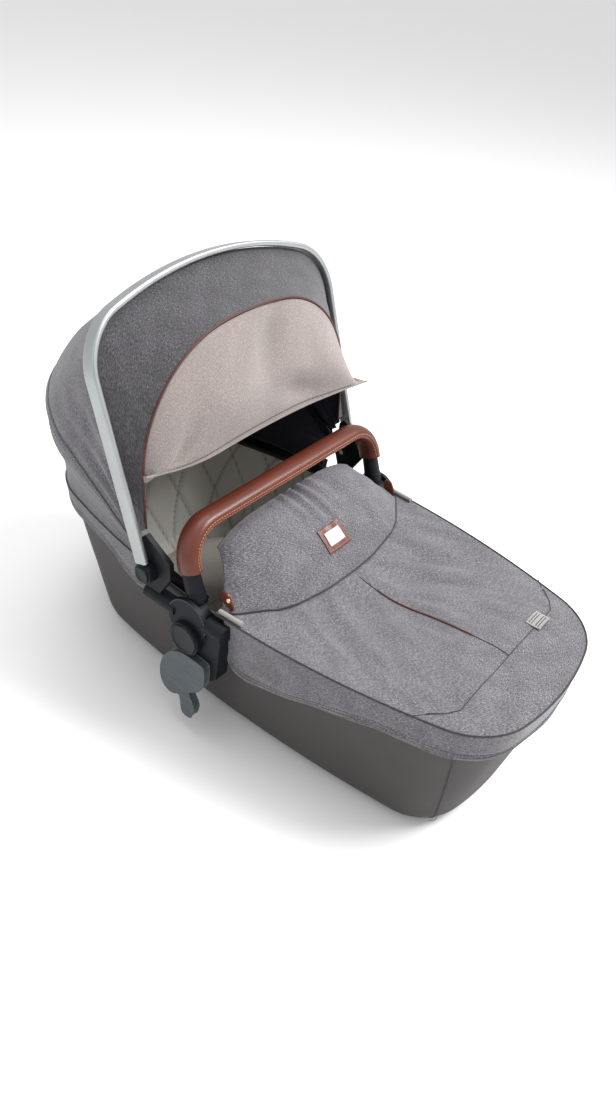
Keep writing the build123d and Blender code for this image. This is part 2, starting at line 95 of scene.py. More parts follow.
# The canopy's arches: the point that their cloth faces away from, and their size at the bow.
arch_core = np.array([0.0, 0.14])
bow_half, bow_corner, bow_foot = 0.2342, 0.078, 0.058

# The grip's path and section.
handle_half, handle_height, handle_corner = 0.211, 0.122, 0.050
grip_half_wide, grip_half_thick = 0.0190, 0.0130

# Direction that the flap's label lies away from the cloth under it.
label_out = np.array([0.5, 0, 0.87])


# ---- curves ----------------------------------------------------------------------------------
def resample(points, count):
    """Points spaced evenly along a polyline, by interpolating each coordinate over its length."""
    steps = np.linalg.norm(np.diff(points, axis=0), axis=1)
    along = np.concatenate([[0.0], np.cumsum(steps)])
    wanted = np.linspace(0.0, along[-1], count)
    return np.stack([np.interp(wanted, along, points[:, k]) for k in range(points.shape[1])], 1)


def arc(centre, radius, start, end, count=40):
    """Points of a circle from one of its points to another, the short way round."""
    first = math.atan2(start[1] - centre[1], start[0] - centre[0])
    turn = math.atan2(end[1] - centre[1], end[0] - centre[0]) - first
    turn = (turn + math.pi) % (2 * math.pi) - math.pi
    angles = first + turn * np.linspace(0, 1, count)
    return np.stack([centre[0] + radius * np.cos(angles), centre[1] + radius * np.sin(angles)], 1)


def inner_fillet(a, ra, b, rb, radius, near):
    """Centre of a circle that touches two larger circles from inside, on the side of a point."""
    a, b = np.array(a), np.array(b)
    da, db, gap = ra - radius, rb - radius, np.linalg.norm(b - a)
    along = (da**2 - db**2 + gap**2) / (2 * gap)
    across = math.sqrt(max(da**2 - along**2, 0.0))
    axis = (b - a) / gap
    found = [a + axis * along + s * across * np.array([-axis[1], axis[0]]) for s in (1, -1)]
    return min(found, key=lambda p: np.linalg.norm(p - np.array(near)))


def plan_half(z, inset):
    """Right half of the cot's outline at a height: three shallow arcs joined by round corners."""
    rise = (z - tub_floor) / tub_height
    front_bulge, back_bulge = 0.028, 0.036
    front = 0.379 + rise * 0.0424 - inset
    back = 0.325 + rise * 0.0964 - inset
    half = 0.175 + rise * 0.0334 - inset
    corner_y = half - 0.022 - rise * 0.040
    corner = 0.078 + rise * 0.022 - inset
    front_x, back_x = front - front_bulge, -back + back_bulge
    middle, chord = (front_x + back_x) / 2, (front_x - back_x) / 2
    k = (chord**2 - middle**2 + corner_y**2 - half**2) / (2 * (half - corner_y))
    side_centre, side_radius = (middle, k), math.hypot(middle, half + k)
    front_radius = (corner_y**2 + front_bulge**2) / (2 * front_bulge)
    back_radius = (corner_y**2 + back_bulge**2) / (2 * back_bulge)
    ends, corners, touches = [], [], []
    for tip, centre_x, radius, fillet, x in (
        (-back, -back + back_radius, back_radius, corner + 0.018, back_x),
        (front, front - front_radius, front_radius, corner, front_x),
    ):
        centre = (centre_x, 0.0)
        c = inner_fillet(side_centre, side_radius, centre, radius, fillet, (x, -corner_y))
        on_side = np.array(side_centre) + (c - side_centre) * side_radius / (side_radius - fillet)
        on_end = np.array(centre) + (c - centre) * radius / (radius - fillet)
        ends.append((centre, radius, (tip, 0), on_end))
        corners.append((c, fillet, on_end, on_side))
        touches.append(on_side)
    head_end, foot_end = ends
    head_corner, foot_corner = corners
    centre, radius, tip, on_end = foot_end
    c, fillet, _, on_side = foot_corner
    parts = [
        arc(*head_end),
        arc(*head_corner)[1:],
        arc(side_centre, side_radius, *touches, 160)[1:],
        arc(c, fillet, on_side, on_end)[1:],
        arc(centre, radius, on_end, tip)[1:],
    ]
    return np.concatenate(parts)


def plan_ring(z, inset=0.0, count=320):
    """Closed outline: the right half from head to foot, then its mirror image back to the head."""
    half = resample(plan_half(z, inset), count // 2 + 1)
    mirrored = half[-2:0:-1] * [1, -1]
    ring = np.concatenate([half, mirrored])
    return np.column_stack([ring, np.full(len(ring), z)])


def plan_open(z, inset, x_from, count, toward_foot=True):
    """The part of the outline on one side of a cross line, from the right round to the left."""
    half = plan_half(z, inset)
    keep = half[:, 0] > x_from if toward_foot else half[:, 0] < x_from
    side = half[40:-40]
    y_cut = np.interp(x_from, side[:, 0], side[:, 1])
    part = half[keep] if toward_foot else half[keep][::-1]
    part = np.concatenate([[[x_from, y_cut]], part])
    whole = np.concatenate([part, part[-2::-1] * [1, -1]])
    points = resample(whole, count)
    return np.column_stack([points, np.full(count, z)])


def arch(half, height, corner, foot, count=161):
    """Arch in (across, out): straight legs, round shoulders and a shallow circular crown."""
    crown = half**2 / (3 * height)
    radius = (half**2 + crown**2) / (2 * crown)
    middle = height - radius
    rise = math.sqrt((radius - corner) ** 2 - (half - corner) ** 2)
    centre = np.array([half - corner, middle + rise])
    touch = np.array([0.0, middle]) + (centre - [0.0, middle]) * radius / (radius - corner)
    right = np.concatenate(
        [
            [[half, foot]],
            arc(centre, corner, (half, centre[1]), touch, 50),
            arc((0.0, middle), radius, touch, (0.0, height), 50)[1:],
        ]
    )
    points = np.concatenate([right * [-1, 1], right[-2::-1]])
    return resample(points, count)


def in_plane(points, angle, pivot):
    """Places (across, out) points on the plane through a pivot line at an angle from +X."""
    turn = np.radians(angle)
    out = points[..., 1]
    x, z = pivot[0] + out * np.cos(turn), pivot[2] + out * np.sin(turn)
    return np.stack([x, points[..., 0], z], -1)


def grid_lengths(grid):
    """Length of each row and of each column of a grid of points: the sums of their steps."""
    width = np.linalg.norm(np.diff(grid, axis=1), axis=2).sum(1)
    depth = np.linalg.norm(np.diff(grid, axis=0), axis=2).sum(0)
    return width, depth


def ripple(u, v, seed, waves=7, low=1.0, high=5.0):
    """Soft irregular folds between -1 and 1: a sum of seeded sine waves in two directions."""
    draw = np.random.RandomState(seed)
    total = np.zeros(np.broadcast(u, v).shape)
    for _ in range(waves):
        across, along = draw.uniform(low, high, 2) * draw.choice([-1, 1], 2)
        total += np.sin(2 * np.pi * (across * u + along * v) + draw.uniform(0, 6.28))
    return total / waves


def bump_at(x, y, centre, size):
    """Round hill of height 1 that falls off as a Gaussian in two directions."""
    return np.exp(-(((x - centre[0]) / size[0]) ** 2) - ((y - centre[1]) / size[1]) ** 2)


# ---- meshes ----------------------------------------------------------------------------------
def link_mesh(name, points, faces, uv=None):
    """Makes one smooth-shaded object at the origin from arrays of points and faces."""
    mesh = bpy.data.meshes.new(name)
    mesh.from_pydata(np.asarray(points, float).reshape(-1, 3).tolist(), [], faces)
    if uv is not None:
        layer = mesh.uv_layers.new(name="Cloth")
        loops = np.zeros(len(mesh.loops), int)
        mesh.loops.foreach_get("vertex_index", loops)
        layer.data.foreach_set("uv", np.asarray(uv, np.float32).reshape(-1, 2)[loops].ravel())
    mesh.shade_smooth()
    mesh.update()
    made = bpy.data.objects.new(name, mesh)
    bpy.context.scene.collection.objects.link(made)
    return made


def grid_faces(rows, columns, wrap_rows=False, wrap_columns=False):
    """Quads between neighbouring points of a grid, joined end to end where it wraps."""
    i = np.arange(rows if wrap_rows else rows - 1)[:, None]
    j = np.arange(columns if wrap_columns else columns - 1)[None, :]
    a = i * columns + j
    b = i * columns + (j + 1) % columns
    c = ((i + 1) % rows) * columns + (j + 1) % columns
    d = ((i + 1) % rows) * columns + j
    return np.stack([a + 0 * j, b, c, d + 0 * j], -1).reshape(-1, 4)


def surface(name, grid, wrap_columns=False, flip=False, caps=False, away=None):
    """Surface over a grid of points, with a UV map that holds lengths over the cloth in metres.

    Where a point inside the object is given, the faces turn away from it: the sum of each face's
    normal times its direction from that point is kept positive."""
    rows, columns = grid.shape[:2]
    if away is not None:
        a, b = grid[1:, :-1] - grid[:-1, :-1], grid[:-1, 1:] - grid[:-1, :-1]
        flip = bool(np.sum(np.cross(b, a) * (grid[:-1, :-1] - np.array(away))) < 0)
    faces = grid_faces(rows, columns, wrap_columns=wrap_columns)
    if flip:
        faces = faces[:, ::-1]
    faces = faces.tolist()
    if caps:
        first, last = list(range(columns)), list(range((rows - 1) * columns, rows * columns))
        faces += [first if flip else first[::-1], last[::-1] if flip else last]
    across = np.linalg.norm(np.diff(grid, axis=1), axis=2)
    along = np.linalg.norm(np.diff(grid, axis=0), axis=2)
    u = np.concatenate([np.zeros((rows, 1)), np.cumsum(across, 1)], 1)
    v = np.concatenate([np.zeros((1, columns)), np.cumsum(along, 0)], 0)
    made = link_mesh(name, grid, faces, np.stack([u - u.mean(1, keepdims=True), v], -1))
    if caps:
        made.data.set_sharp_from_angle(angle=math.radians(38))
    return made


def flow_frames(path, closed=False):
    """Unit tangent, side and up vectors along a path, from differences and one fixed direction."""
    if closed:
        tangent = np.roll(path, -1, 0) - np.roll(path, 1, 0)
    else:
        tangent = np.gradient(path, axis=0)
    tangent /= np.linalg.norm(tangent, axis=1, keepdims=True) + 1e-12
    spread = np.ptp(path, axis=0)
    guide = np.eye(3)[int(np.argmin(spread))]
    side = np.cross(tangent, guide)
    side /= np.linalg.norm(side, axis=1, keepdims=True) + 1e-12
    return tangent, side, np.cross(side, tangent)


def tube(name, path, radius, closed=False, around=10):
    """Round section carried along a path, with flat ends where the path is open."""
    _, side, up = flow_frames(path, closed)
    turn = np.linspace(0, 2 * np.pi, around, endpoint=False)
    ring = np.cos(turn)[None, :, None] * side[:, None] + np.sin(turn)[None, :, None] * up[:, None]
    grid = path[:, None] + radius * ring
    if closed:
        grid = np.concatenate([grid, grid[:1]])
    piece = surface(name, grid, wrap_columns=True, flip=True, caps=not closed)
    if closed:
        merge(piece)
    return outward(piece)


def merge(piece, distance=1e-6):
    """Joins points that lie in the same place, which closes seams and poles."""
    work = bmesh.new()
    work.from_mesh(piece.data)
    bmesh.ops.remove_doubles(work, verts=work.verts, dist=distance)
    work.to_mesh(piece.data)
    work.free()
    return piece


def outward(piece):
    """Turns the faces of a closed mesh to point out, before any wall thickness is added."""
    work = bmesh.new()
    work.from_mesh(piece.data)
    bmesh.ops.recalc_face_normals(work, faces=work.faces)
    work.to_mesh(piece.data)
    work.free()
    return piece


def stitching(name, path, spacing=0.0042, length=0.0030, radius=0.00055):
    """Row of sewn stitches: short six-sided capsules, one at each step along a path."""
    total = np.linalg.norm(np.diff(path, axis=0), axis=1).sum()
    count = max(int(total / spacing), 2)
    points = resample(path, count * 2 + 1)[1::2]
    tangent, side, up = flow_frames(points)
    around = 6
    turn = np.linspace(0, 2 * np.pi, around, endpoint=False)
    along = np.array([-0.5, -0.32, 0.32, 0.5]) * length
    thick = np.array([0.45, 1.0, 1.0, 0.45]) * radius
    ring = np.cos(turn)[:, None, None] * side + np.sin(turn)[:, None, None] * up
    grid = points[:, None, None] + along[None, :, None, None] * tangent[:, None, None]
    grid = grid + thick[None, :, None, None] * np.transpose(ring, (1, 0, 2))[:, None]
    block = grid_faces(len(along), around, wrap_columns=True)
    starts = len(along) * around * np.arange(len(points))[:, None]
    quads = (block[None] + starts[..., None]).reshape(-1, 4).tolist()
    first = np.arange(around)
    last = (len(along) - 1) * around + first
    ends = np.concatenate([starts + first[::-1], starts + last]).tolist()
    return outward(link_mesh(name, grid, quads + ends))


def lathe(name, profile, centre, side, around=64):
    """Profile of (radius, distance out) turned about a line along Y, closed by its two ends."""
    profile = np.array(profile)
    turn = np.linspace(0, 2 * np.pi, around, endpoint=False)
    r, out = profile[:, :1], profile[:, 1:]
    x = centre[0] + r * np.cos(turn)
    z = centre[1] + r * np.sin(turn)
    grid = np.stack([x, side * out + 0 * x, z], -1)
    return outward(surface(name, grid, wrap_columns=True, caps=True))


def add_wall(piece, thickness, inside=None, offset=-1.0):
    """Gives a sheet its thickness, and its inner side a second material where one is named."""
    wall = piece.modifiers.new("Wall", "SOLIDIFY")
    wall.thickness = thickness
    wall.offset = offset
    wall.use_rim = True
    if inside is not None:
        piece.data.materials.append(inside)
        wall.material_offset = len(piece.data.materials) - 1
    return piece


# ---- shader graphs ---------------------------------------------------------------------------
class Field:
    """A shader socket that adds Math nodes when it is used in an expression."""

    def __init__(self, graph, socket):
        self.graph = graph
        self.socket = socket

    def math(self, operation, *values):
        return self.graph.node("ShaderNodeMath", {"operation": operation}, dict(enumerate(values)))

    def __add__(self, other):
        return self.math("ADD", self, other)

    def __radd__(self, other):
        return self.math("ADD", other, self)

    def __mul__(self, other):
        return self.math("MULTIPLY", self, other)

    def __rmul__(self, other):
        return self.math("MULTIPLY", other, self)


class Graph:
    """The node tree of one material, with its Principled shader ready to be fed."""

    def __init__(self, name):
        self.material = bpy.data.materials.new(name)
        self.material.use_nodes = True
        self.tree = self.material.node_tree
        self.shader = self.tree.nodes["Principled BSDF"]

    def node(self, kind, settings=None, values=None, output=0):
        """Adds a node: its settings first, then the values or links of its sockets."""
        made = self.tree.nodes.new(kind)
        for key, value in (settings or {}).items():
            if key == "stops":
                ramp = made.color_ramp
                while len(ramp.elements) < len(value):
                    ramp.elements.new(0.5)
                for element, (place, color) in zip(ramp.elements, value):
                    element.position = place
                    element.color = (*color, 1.0)
            else:
                setattr(made, key, value)
        for key, value in (values or {}).items():
            if isinstance(value, Field):
                self.tree.links.new(value.socket, made.inputs[key])
            else:
                made.inputs[key].default_value = value
        return Field(self, made.outputs[output])

    def coordinates(self, cloth, scale=(1, 1, 1)):
        """Object coordinates, or the cloth's own lengths, multiplied along each direction."""
        if cloth:
            place = self.node("ShaderNodeUVMap", {"uv_map": "Cloth"})
        else:
            place = self.node("ShaderNodeTexCoord", output="Object")
        return self.node("ShaderNodeMapping", values={"Vector": place, "Scale": scale})

    def noise(self, cloth, scale, detail=2.0, roughness=0.5):
        """Noise between 0 and 1 at a scale given for each direction, per metre."""
        values = {"Vector": self.coordinates(cloth, scale), "Scale": 1.0}
        values.update({"Detail": detail, "Roughness": roughness})
        return self.node("ShaderNodeTexNoise", values=values, output="Fac")

    def colors(self, factor, stops):
        """A colour for each value of a factor, interpolated between stops."""
        return self.node("ShaderNodeValToRGB", {"stops": stops}, {"Fac": factor})

    def feed(self, color=None, roughness=None, height=None, strength=0.4, distance=0.001):
        """Links what varies: base colour, roughness, and a height that bends the normal."""
        links = self.tree.links
        if color is not None:
            links.new(color.socket, self.shader.inputs["Base Color"])
        if roughness is not None:
            links.new(roughness.socket, self.shader.inputs["Roughness"])
        if height is not None:
            values = {"Height": height, "Strength": strength, "Distance": distance}
            bent = self.node("ShaderNodeBump", values=values)
            links.new(bent.socket, self.shader.inputs["Normal"])
        return self.material

    def fixed(self, **values):
        """Sets uniform values on the shader's own sockets."""
        for key, value in values.items():
            self.shader.inputs[key.replace("_", " ")].default_value = value


made_materials = {}


def finish_of(name):
    """The named material, made the first time that it is asked for."""
    if name not in made_materials:
        made_materials[name] = finishes[name](name)
    return made_materials[name]


def shade(color, factor):
    """A colour made darker or lighter by a factor, kept within 0 and 1."""
    return tuple(min(max(c * factor, 0.0), 1.0) for c in color)


def melange(name, color, cloth=True, contrast=0.95, sheen=0.25):
    """Woven melange: short dark and light threads along warp and weft over soft patches."""
    g = Graph(name)
    warp = g.noise(cloth, (240, 1500, 600), 2.0, 0.6)
    weft = g.noise(cloth, (1500, 420, 600), 2.0, 0.6)
    patches = g.noise(cloth, (30, 30, 30), 3.0)
    threads = warp * 0.6 + weft * 0.4
    mixed = threads * 0.9 + patches * 0.1
    stops = [
        (0.38, shade(color, 1 - 0.75 * contrast)),
        (0.50, shade(color, 0.92)),
        (0.62, shade(color, 1 + 1.9 * contrast)),
    ]
    g.fixed(Sheen_Weight=sheen, Sheen_Roughness=0.5, Specular_IOR_Level=0.25)
    rough = 0.82 + patches * 0.12
    return g.feed(g.colors(mixed, stops), rough, threads, 0.55, 0.0009)


def quilted(name, color):
    """Soft lining: a fine knit, with painted shade that darkens the sewn channels which a point attribute marks.
    """
    g = Graph(name)
    knit = g.noise(False, (900, 900, 900), 2.0)
    # Painted shade mask: the quilt's puff, low in the sewn channels, where the colour is darkened.
    painted_shade_mask = g.node("ShaderNodeAttribute", {"attribute_name": "Quilt"}, output="Fac")
    tone = painted_shade_mask * 0.8 + knit * 0.2
    g.fixed(Sheen_Weight=0.15, Specular_IOR_Level=0.2)
    # Painted shade: the darkest stop darkens the sewn channels to about a third of the liner's colour.
    stops = [(0.05, shade(color, 0.36)), (0.45, shade(color, 0.85)), (0.95, shade(color, 1.05))]
    return g.feed(g.colors(tone, stops), 0.85 + knit * 0.1, knit, 0.25, 0.0006)


def hide(name, color, grain=380.0, rough=0.42, cloth=False, strength=0.3, wear=0.12):
    """Leather: pebbled grain from Voronoi cells, broad tone changes and worn light patches."""
    g = Graph(name)
    values = {"Vector": g.coordinates(cloth), "Scale": grain, "Randomness": 1.0}
    cells = g.node("ShaderNodeTexVoronoi", {"feature": "F1"}, values, "Distance")
    tone = g.noise(cloth, (14, 14, 14), 4.0)
    fine = g.noise(cloth, (700, 700, 700), 2.0)
    mixed = tone * 0.8 + cells * 0.2
    worn, deep = shade(color, 1 + 2 * wear), shade(color, 1 - 1.6 * wear)
    stops = [(0.25, deep), (0.55, color), (0.8, worn)]
    height = cells * 0.7 + fine * 0.3
    g.fixed(Specular_IOR_Level=0.45)
    return g.feed(g.colors(mixed, stops), rough + fine * 0.14, height, strength, 0.0006)


def moulded(name, color, rough=0.42, texture=1400.0, strength=0.12, gloss=0.45):
    """Moulded plastic: a fine spark-eroded texture with faint handling marks."""
    g = Graph(name)
    fine = g.noise(False, (texture, texture, texture), 1.0)
    marks = g.noise(False, (45, 45, 160), 4.0)
    stops = [(0.3, shade(color, 0.85)), (0.7, shade(color, 1.25))]
    g.fixed(Specular_IOR_Level=gloss)
    return g.feed(g.colors(marks, stops), rough + marks * 0.16, fine, strength, 0.0004)


def metal(name, color, rough=0.28, brushed=(60, 900, 60)):
    """Metal: fine lines of polishing in its roughness and normal, and slightly uneven tone."""
    g = Graph(name)
    lines = g.noise(False, brushed, 3.0)
    tone = g.noise(False, (20, 20, 20), 3.0)
    g.fixed(Metallic=1.0)
    stops = [(0.3, shade(color, 0.94)), (0.7, shade(color, 1.04))]
    return g.feed(g.colors(tone, stops), rough + lines * 0.1, lines, 0.05, 0.0002)


def thread(name, color):
    """Twisted sewing thread: light and dark plies along its length."""
    g = Graph(name)
    plies = g.noise(False, (2500, 2500, 2500), 1.0)
    stops = [(0.35, shade(color, 0.75)), (0.65, shade(color, 1.2))]
    g.fixed(Sheen_Weight=0.2)
    return g.feed(g.colors(plies, stops), 0.65 + plies * 0.2, plies, 0.4, 0.0003)


finishes = {
    "melange_cloth": lambda n: melange(n, tuple(settings().cloth_color)),
    # Painted shade: the hood's own cloth at half brightness, standing in for the shade on the fascia.
    "fascia_shade": lambda n: melange(n, shade(tuple(settings().cloth_color), 0.50)),
    "visor_cloth": lambda n: melange(n, tuple(settings().visor_color), False, 0.26),
    "lining": lambda n: melange(n, (0.028, 0.028, 0.04), contrast=0.3, sheen=0.05),
    "liner_cloth": lambda n: quilted(n, tuple(settings().liner_color)),
    "tub_hide": lambda n: hide(
        n, tuple(settings().tub_color), 520.0, 0.55, strength=0.25, wear=0.08
    ),
    "tan_leather": lambda n: hide(n, tuple(settings().leather_color), 420.0, 0.27),
    "tan_thread": lambda n: thread(n, (0.55, 0.20, 0.09)),
    "grey_thread": lambda n: thread(n, (0.045, 0.042, 0.046)),
    "red_piping": lambda n: hide(n, (0.085, 0.019, 0.014), 900.0, 0.45),
    "dark_piping": lambda n: melange(n, (0.035, 0.033, 0.035), False, 0.3),
    "bow_metal": lambda n: metal(n, (0.44, 0.455, 0.46), 0.38),
    "handle_metal": lambda n: metal(n, (0.35, 0.35, 0.36), 0.35),
    "steel": lambda n: metal(n, (0.55, 0.55, 0.55), 0.3),
    "brass": lambda n: metal(n, (0.72, 0.52, 0.25), 0.2),
    "black_plastic": lambda n: moulded(n, (0.0045, 0.0055, 0.0080), 0.45, gloss=0.22),
    "black_tube": lambda n: metal(n, (0.03, 0.03, 0.033), 0.4),
    "slate_plastic": lambda n: moulded(n, (0.060, 0.074, 0.082), 0.5),
    "button_plastic": lambda n: moulded(n, (0.008, 0.011, 0.012), 0.38, gloss=0.3),
    "rubber": lambda n: moulded(n, (0.018, 0.018, 0.018), 0.75, 500.0, 0.3),
    "base_board": lambda n: moulded(n, (0.11, 0.11, 0.11), 0.6),
    "label_enamel": lambda n: moulded(n, (0.46, 0.47, 0.45), 0.30, 900.0, 0.04),
    "tag_cloth": lambda n: melange(n, (0.27, 0.27, 0.26), False, 0.3),
    "mattress_cloth": lambda n: melange(n, (0.48, 0.46, 0.41), False, 0.12, 0.1),
}


def dress(piece, finish, body=None, replaces=()):
    """Gives a piece its finish, the body it rides on and what it replaces."""
    piece.data.materials.append(finish_of(finish))
    if replaces:
        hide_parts(*replaces)
    if body:
        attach(piece, body)
    return piece


# ---- settings --------------------------------------------------------------------------------
class CarrycotSettings(bpy.types.PropertyGroup):
    """Sizes and colours that a user would change."""

    cloth_color: FloatVectorProperty(
        name="Cloth", description="Colour of the hood and apron", subtype="COLOR",
        default=(0.114, 0.110, 0.119), min=0, max=1,
    )
    visor_color: FloatVectorProperty(
        name="Visor", description="Colour of the sun visor", subtype="COLOR",
        default=(0.262, 0.226, 0.215), min=0, max=1,
    )
    liner_color: FloatVectorProperty(
        name="Liner", description="Colour of the quilted lining", subtype="COLOR",
        default=(0.66, 0.65, 0.60), min=0, max=1,
    )
    tub_color: FloatVectorProperty(
        name="Tub", description="Colour of the leatherette tub", subtype="COLOR",
        default=(0.046, 0.040, 0.040), min=0, max=1,
    )
    leather_color: FloatVectorProperty(
        name="Leather", description="Colour of the grip and tabs", subtype="COLOR",
        default=(0.110, 0.025, 0.014), min=0, max=1,
    )
    cloth_thickness: FloatProperty(
        name="Cloth thickness", description="Thickness of the outer cloth", default=0.0016,
        min=0.0005, max=0.004, unit="LENGTH", subtype="DISTANCE",
    )
    apron_sag: FloatProperty(
        name="Apron sag", description="How far the apron sags behind its middle", default=0.017,
        min=0.0, max=0.04, unit="LENGTH", subtype="DISTANCE",
    )


def settings():
    """The carrycot's settings on the scene."""
    return bpy.context.scene.carrycot


# ---- tub -------------------------------------------------------------------------------------
def build_tub():
    """Leatherette tub: outlines stacked by a rounded profile, up outside and down inside."""
    turn = np.radians(np.linspace(0, 90, 9))
    foot_rise, foot_in, wall_thickness = 0.024, 0.018, 0.003
    foot_heights = tub_floor + foot_rise * (1 - np.cos(turn))
    foot = np.column_stack([foot_heights, foot_in * (1 - np.sin(turn))])
    wall = np.column_stack([np.linspace(0.034, tub_top, 36), np.zeros(36)])
    lip = np.array([[0.22, 0.0008], [0.22, 0.0022]])
    inner = np.column_stack([np.linspace(tub_top, 0.033, 12), np.full(12, wall_thickness)])
    floor = np.array([[0.017, 0.009], [0.009, 0.021]])
    profile = np.concatenate([foot, wall, lip, inner, floor])
    grid = np.stack([plan_ring(z, inset) for z, inset in profile])
    outside = len(foot) + len(wall)
    u = np.linspace(0, 1, grid.shape[1], endpoint=False)[None]
    v = np.linspace(0, 1, outside)[:, None]
    out = grid[:outside, :, :2]
    out = out / np.linalg.norm(out, axis=2, keepdims=True)
    waves = ripple(np.cos(2 * np.pi * u), v, 3, 8, 0.6, 3.0)
    folds = 0.0006 * waves * np.sin(np.pi * v) ** 0.5
    grid[:outside, :, :2] += out * folds[..., None]
    tub = outward(surface("tub_cover", grid, wrap_columns=True, caps=True))
    dress(tub, "tub_hide", "cot", ["tub_shell"])
    for name, side in sides.items():
        heights = np.linspace(0.012, 0.185, 60)
        seam = []
        for z in heights:
            foot_turn = math.acos(max(0.0, 1 - (z - tub_floor) / foot_rise))
            inset = foot_in * (1 - math.sin(foot_turn)) if z < tub_floor + foot_rise else 0
            ring = plan_half(z, inset - 0.0003)
            foot_side = ring[ring[:, 0] > 0.30]
            seam_y = -0.129 - 0.020 * (z - 0.012) / 0.16
            k = np.argmin(np.abs(foot_side[:, 1] - seam_y))
            seam.append([foot_side[k, 0], -side * foot_side[k, 1], z])
        seam = resample(np.array(seam), 60)
        seam[1:-1] = (seam[:-2] + seam[1:-1] + seam[2:]) / 3
        dress(tube(f"tub_seam_{name}", seam, 0.0010, around=8), "tub_hide", "cot")
        for row, shift in enumerate((-0.004, 0.004)):
            sewn = seam + [0, side * shift, 0]
            sewn[:, 0] += 0.9 * shift
            dress(stitching(f"tub_stitches_{name}_{row}", sewn), "grey_thread", "cot")


# ---- apron -----------------------------------------------------------------------------------
def apron_height(x, y):
    """Height of the apron: level at the rim, a wide sag behind the middle, a slight rise ahead."""
    across = np.clip(1 - (np.abs(y) / 0.205) ** 2.2, 0, 1)
    end = np.clip((0.42 - x) / 0.10, 0, 1)
    sag = -settings().apron_sag * np.exp(-(((x - 0.150) / 0.068) ** 2)) * across
    rise = 0.007 * np.exp(-(((x - 0.325) / 0.055) ** 2)) * across * end
    pull_waves = 0.0032 * np.sin(95 * (np.abs(y) - 0.55 * x) + 1.2)
    pulls = pull_waves * bump_at(x, np.abs(y), (0.16, 0.10), (0.09, 0.06))
    folds = 0.0034 * ripple(x / 0.4, y / 0.4, 11, 9, 1.0, 4.5) * across * np.clip(end * 1.4, 0, 1)
    ridge = 0.003 * bump_at(x, y, (0.20, 0.018), (0.07, 0.010))
    ridge = ridge - 0.002 * bump_at(x, y, (0.20, -0.016), (0.07, 0.012))
    return rim_z + 0.001 + sag + rise + pulls + folds + ridge


def apron_line(points, count, lift=0.0006):
    """A line over the apron through plan points, at the height of its cloth."""
    plan = resample(np.array(points, float), count)
    return np.column_stack([plan, apron_height(plan[:, 0], plan[:, 1]) + lift])


def build_apron():
    """Apron: its outline drawn in to a middle line, with heights from the apron's own formula."""
    edge = plan_open(rim_z, -0.0042, apron_rear, 361)
    spine_x = np.interp(edge[:, 0], [apron_rear, apron_front], [apron_rear, 0.235])
    share = np.linspace(0, 1, 76)[:, None]
    x = edge[None, :, 0] * (1 - share) + spine_x[None] * share
    y = edge[None, :, 1] * (1 - share)
    z = apron_height(x, y)
    settle = np.clip(share * 10, 0, 1)
    z = z * settle + (rim_z + 0.0006) * (1 - settle)
    apron = merge(surface("apron_cloth", np.stack([x, y, z], -1), away=(0.2, 0, 0)), 1e-5)
    dress(apron, "melange_cloth", "cot", ["apron_top"])
    add_wall(apron, settings().cloth_thickness)
    rim = edge + [0, 0, 0.0010]
    dress(tube("rim_piping", resample(rim, 360), 0.0013, around=8), "dark_piping", "cot")
    middle = apron_line([(0.130, 0), (0.285, 0)], 90, 0.0010)
    dress(tube("apron_piping", middle, 0.0013), "red_piping", "cot")
    seams = {
        "rear": [(0.098, 0), (0.130, 0)],
        "front": [(0.285, 0), (0.343, 0)],
        "cross": [
            (0.296, -0.184), (0.312, -0.166), (0.332, -0.147), (0.343, -0.128),
            (0.343, 0.128), (0.332, 0.147), (0.312, 0.166), (0.296, 0.184),
        ],
    }
    for name, points in seams.items():
        line = apron_line(points, 160, 0.0004)
        line[:, 2] = np.where(np.abs(line[:, 1]) > 0.165, rim_z + 0.0012, line[:, 2])
        dress(tube(f"apron_seam_{name}", line, 0.0007, around=8), "dark_piping", "cot")
    build_tag()


def build_tag():
    """Woven tag lying on the apron, its free end curled up, with plain woven bars across it."""
    low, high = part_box("edge_tag")
    x, y = np.meshgrid(np.linspace(low.x, high.x, 25), np.linspace(low.y, high.y, 33))
    curl = 0.0030 * np.clip((x - low.x) / (high.x - low.x), 0, 1) ** 2
    z = apron_height(x, y) + 0.0016 + curl + 0.0008 * np.sin(160 * y)
    tag = surface("woven_tag", np.stack([x, y, z], -1), away=(0.2, 0, 0))
    dress(tag, "tag_cloth", "cot", ["edge_tag"])
    add_wall(tag, 0.0008)
    for row, place in enumerate((0.18, 0.34, 0.66, 0.82)):
        k = int(place * 24)
        bar = np.column_stack([x[3:-3, k], y[3:-3, k], z[3:-3, k] + 0.0001])
        finish = "red_piping" if row == 1 else "dark_piping"
        dress(tube(f"tag_bar_{row}", bar, 0.0006, around=6), finish, "cot")


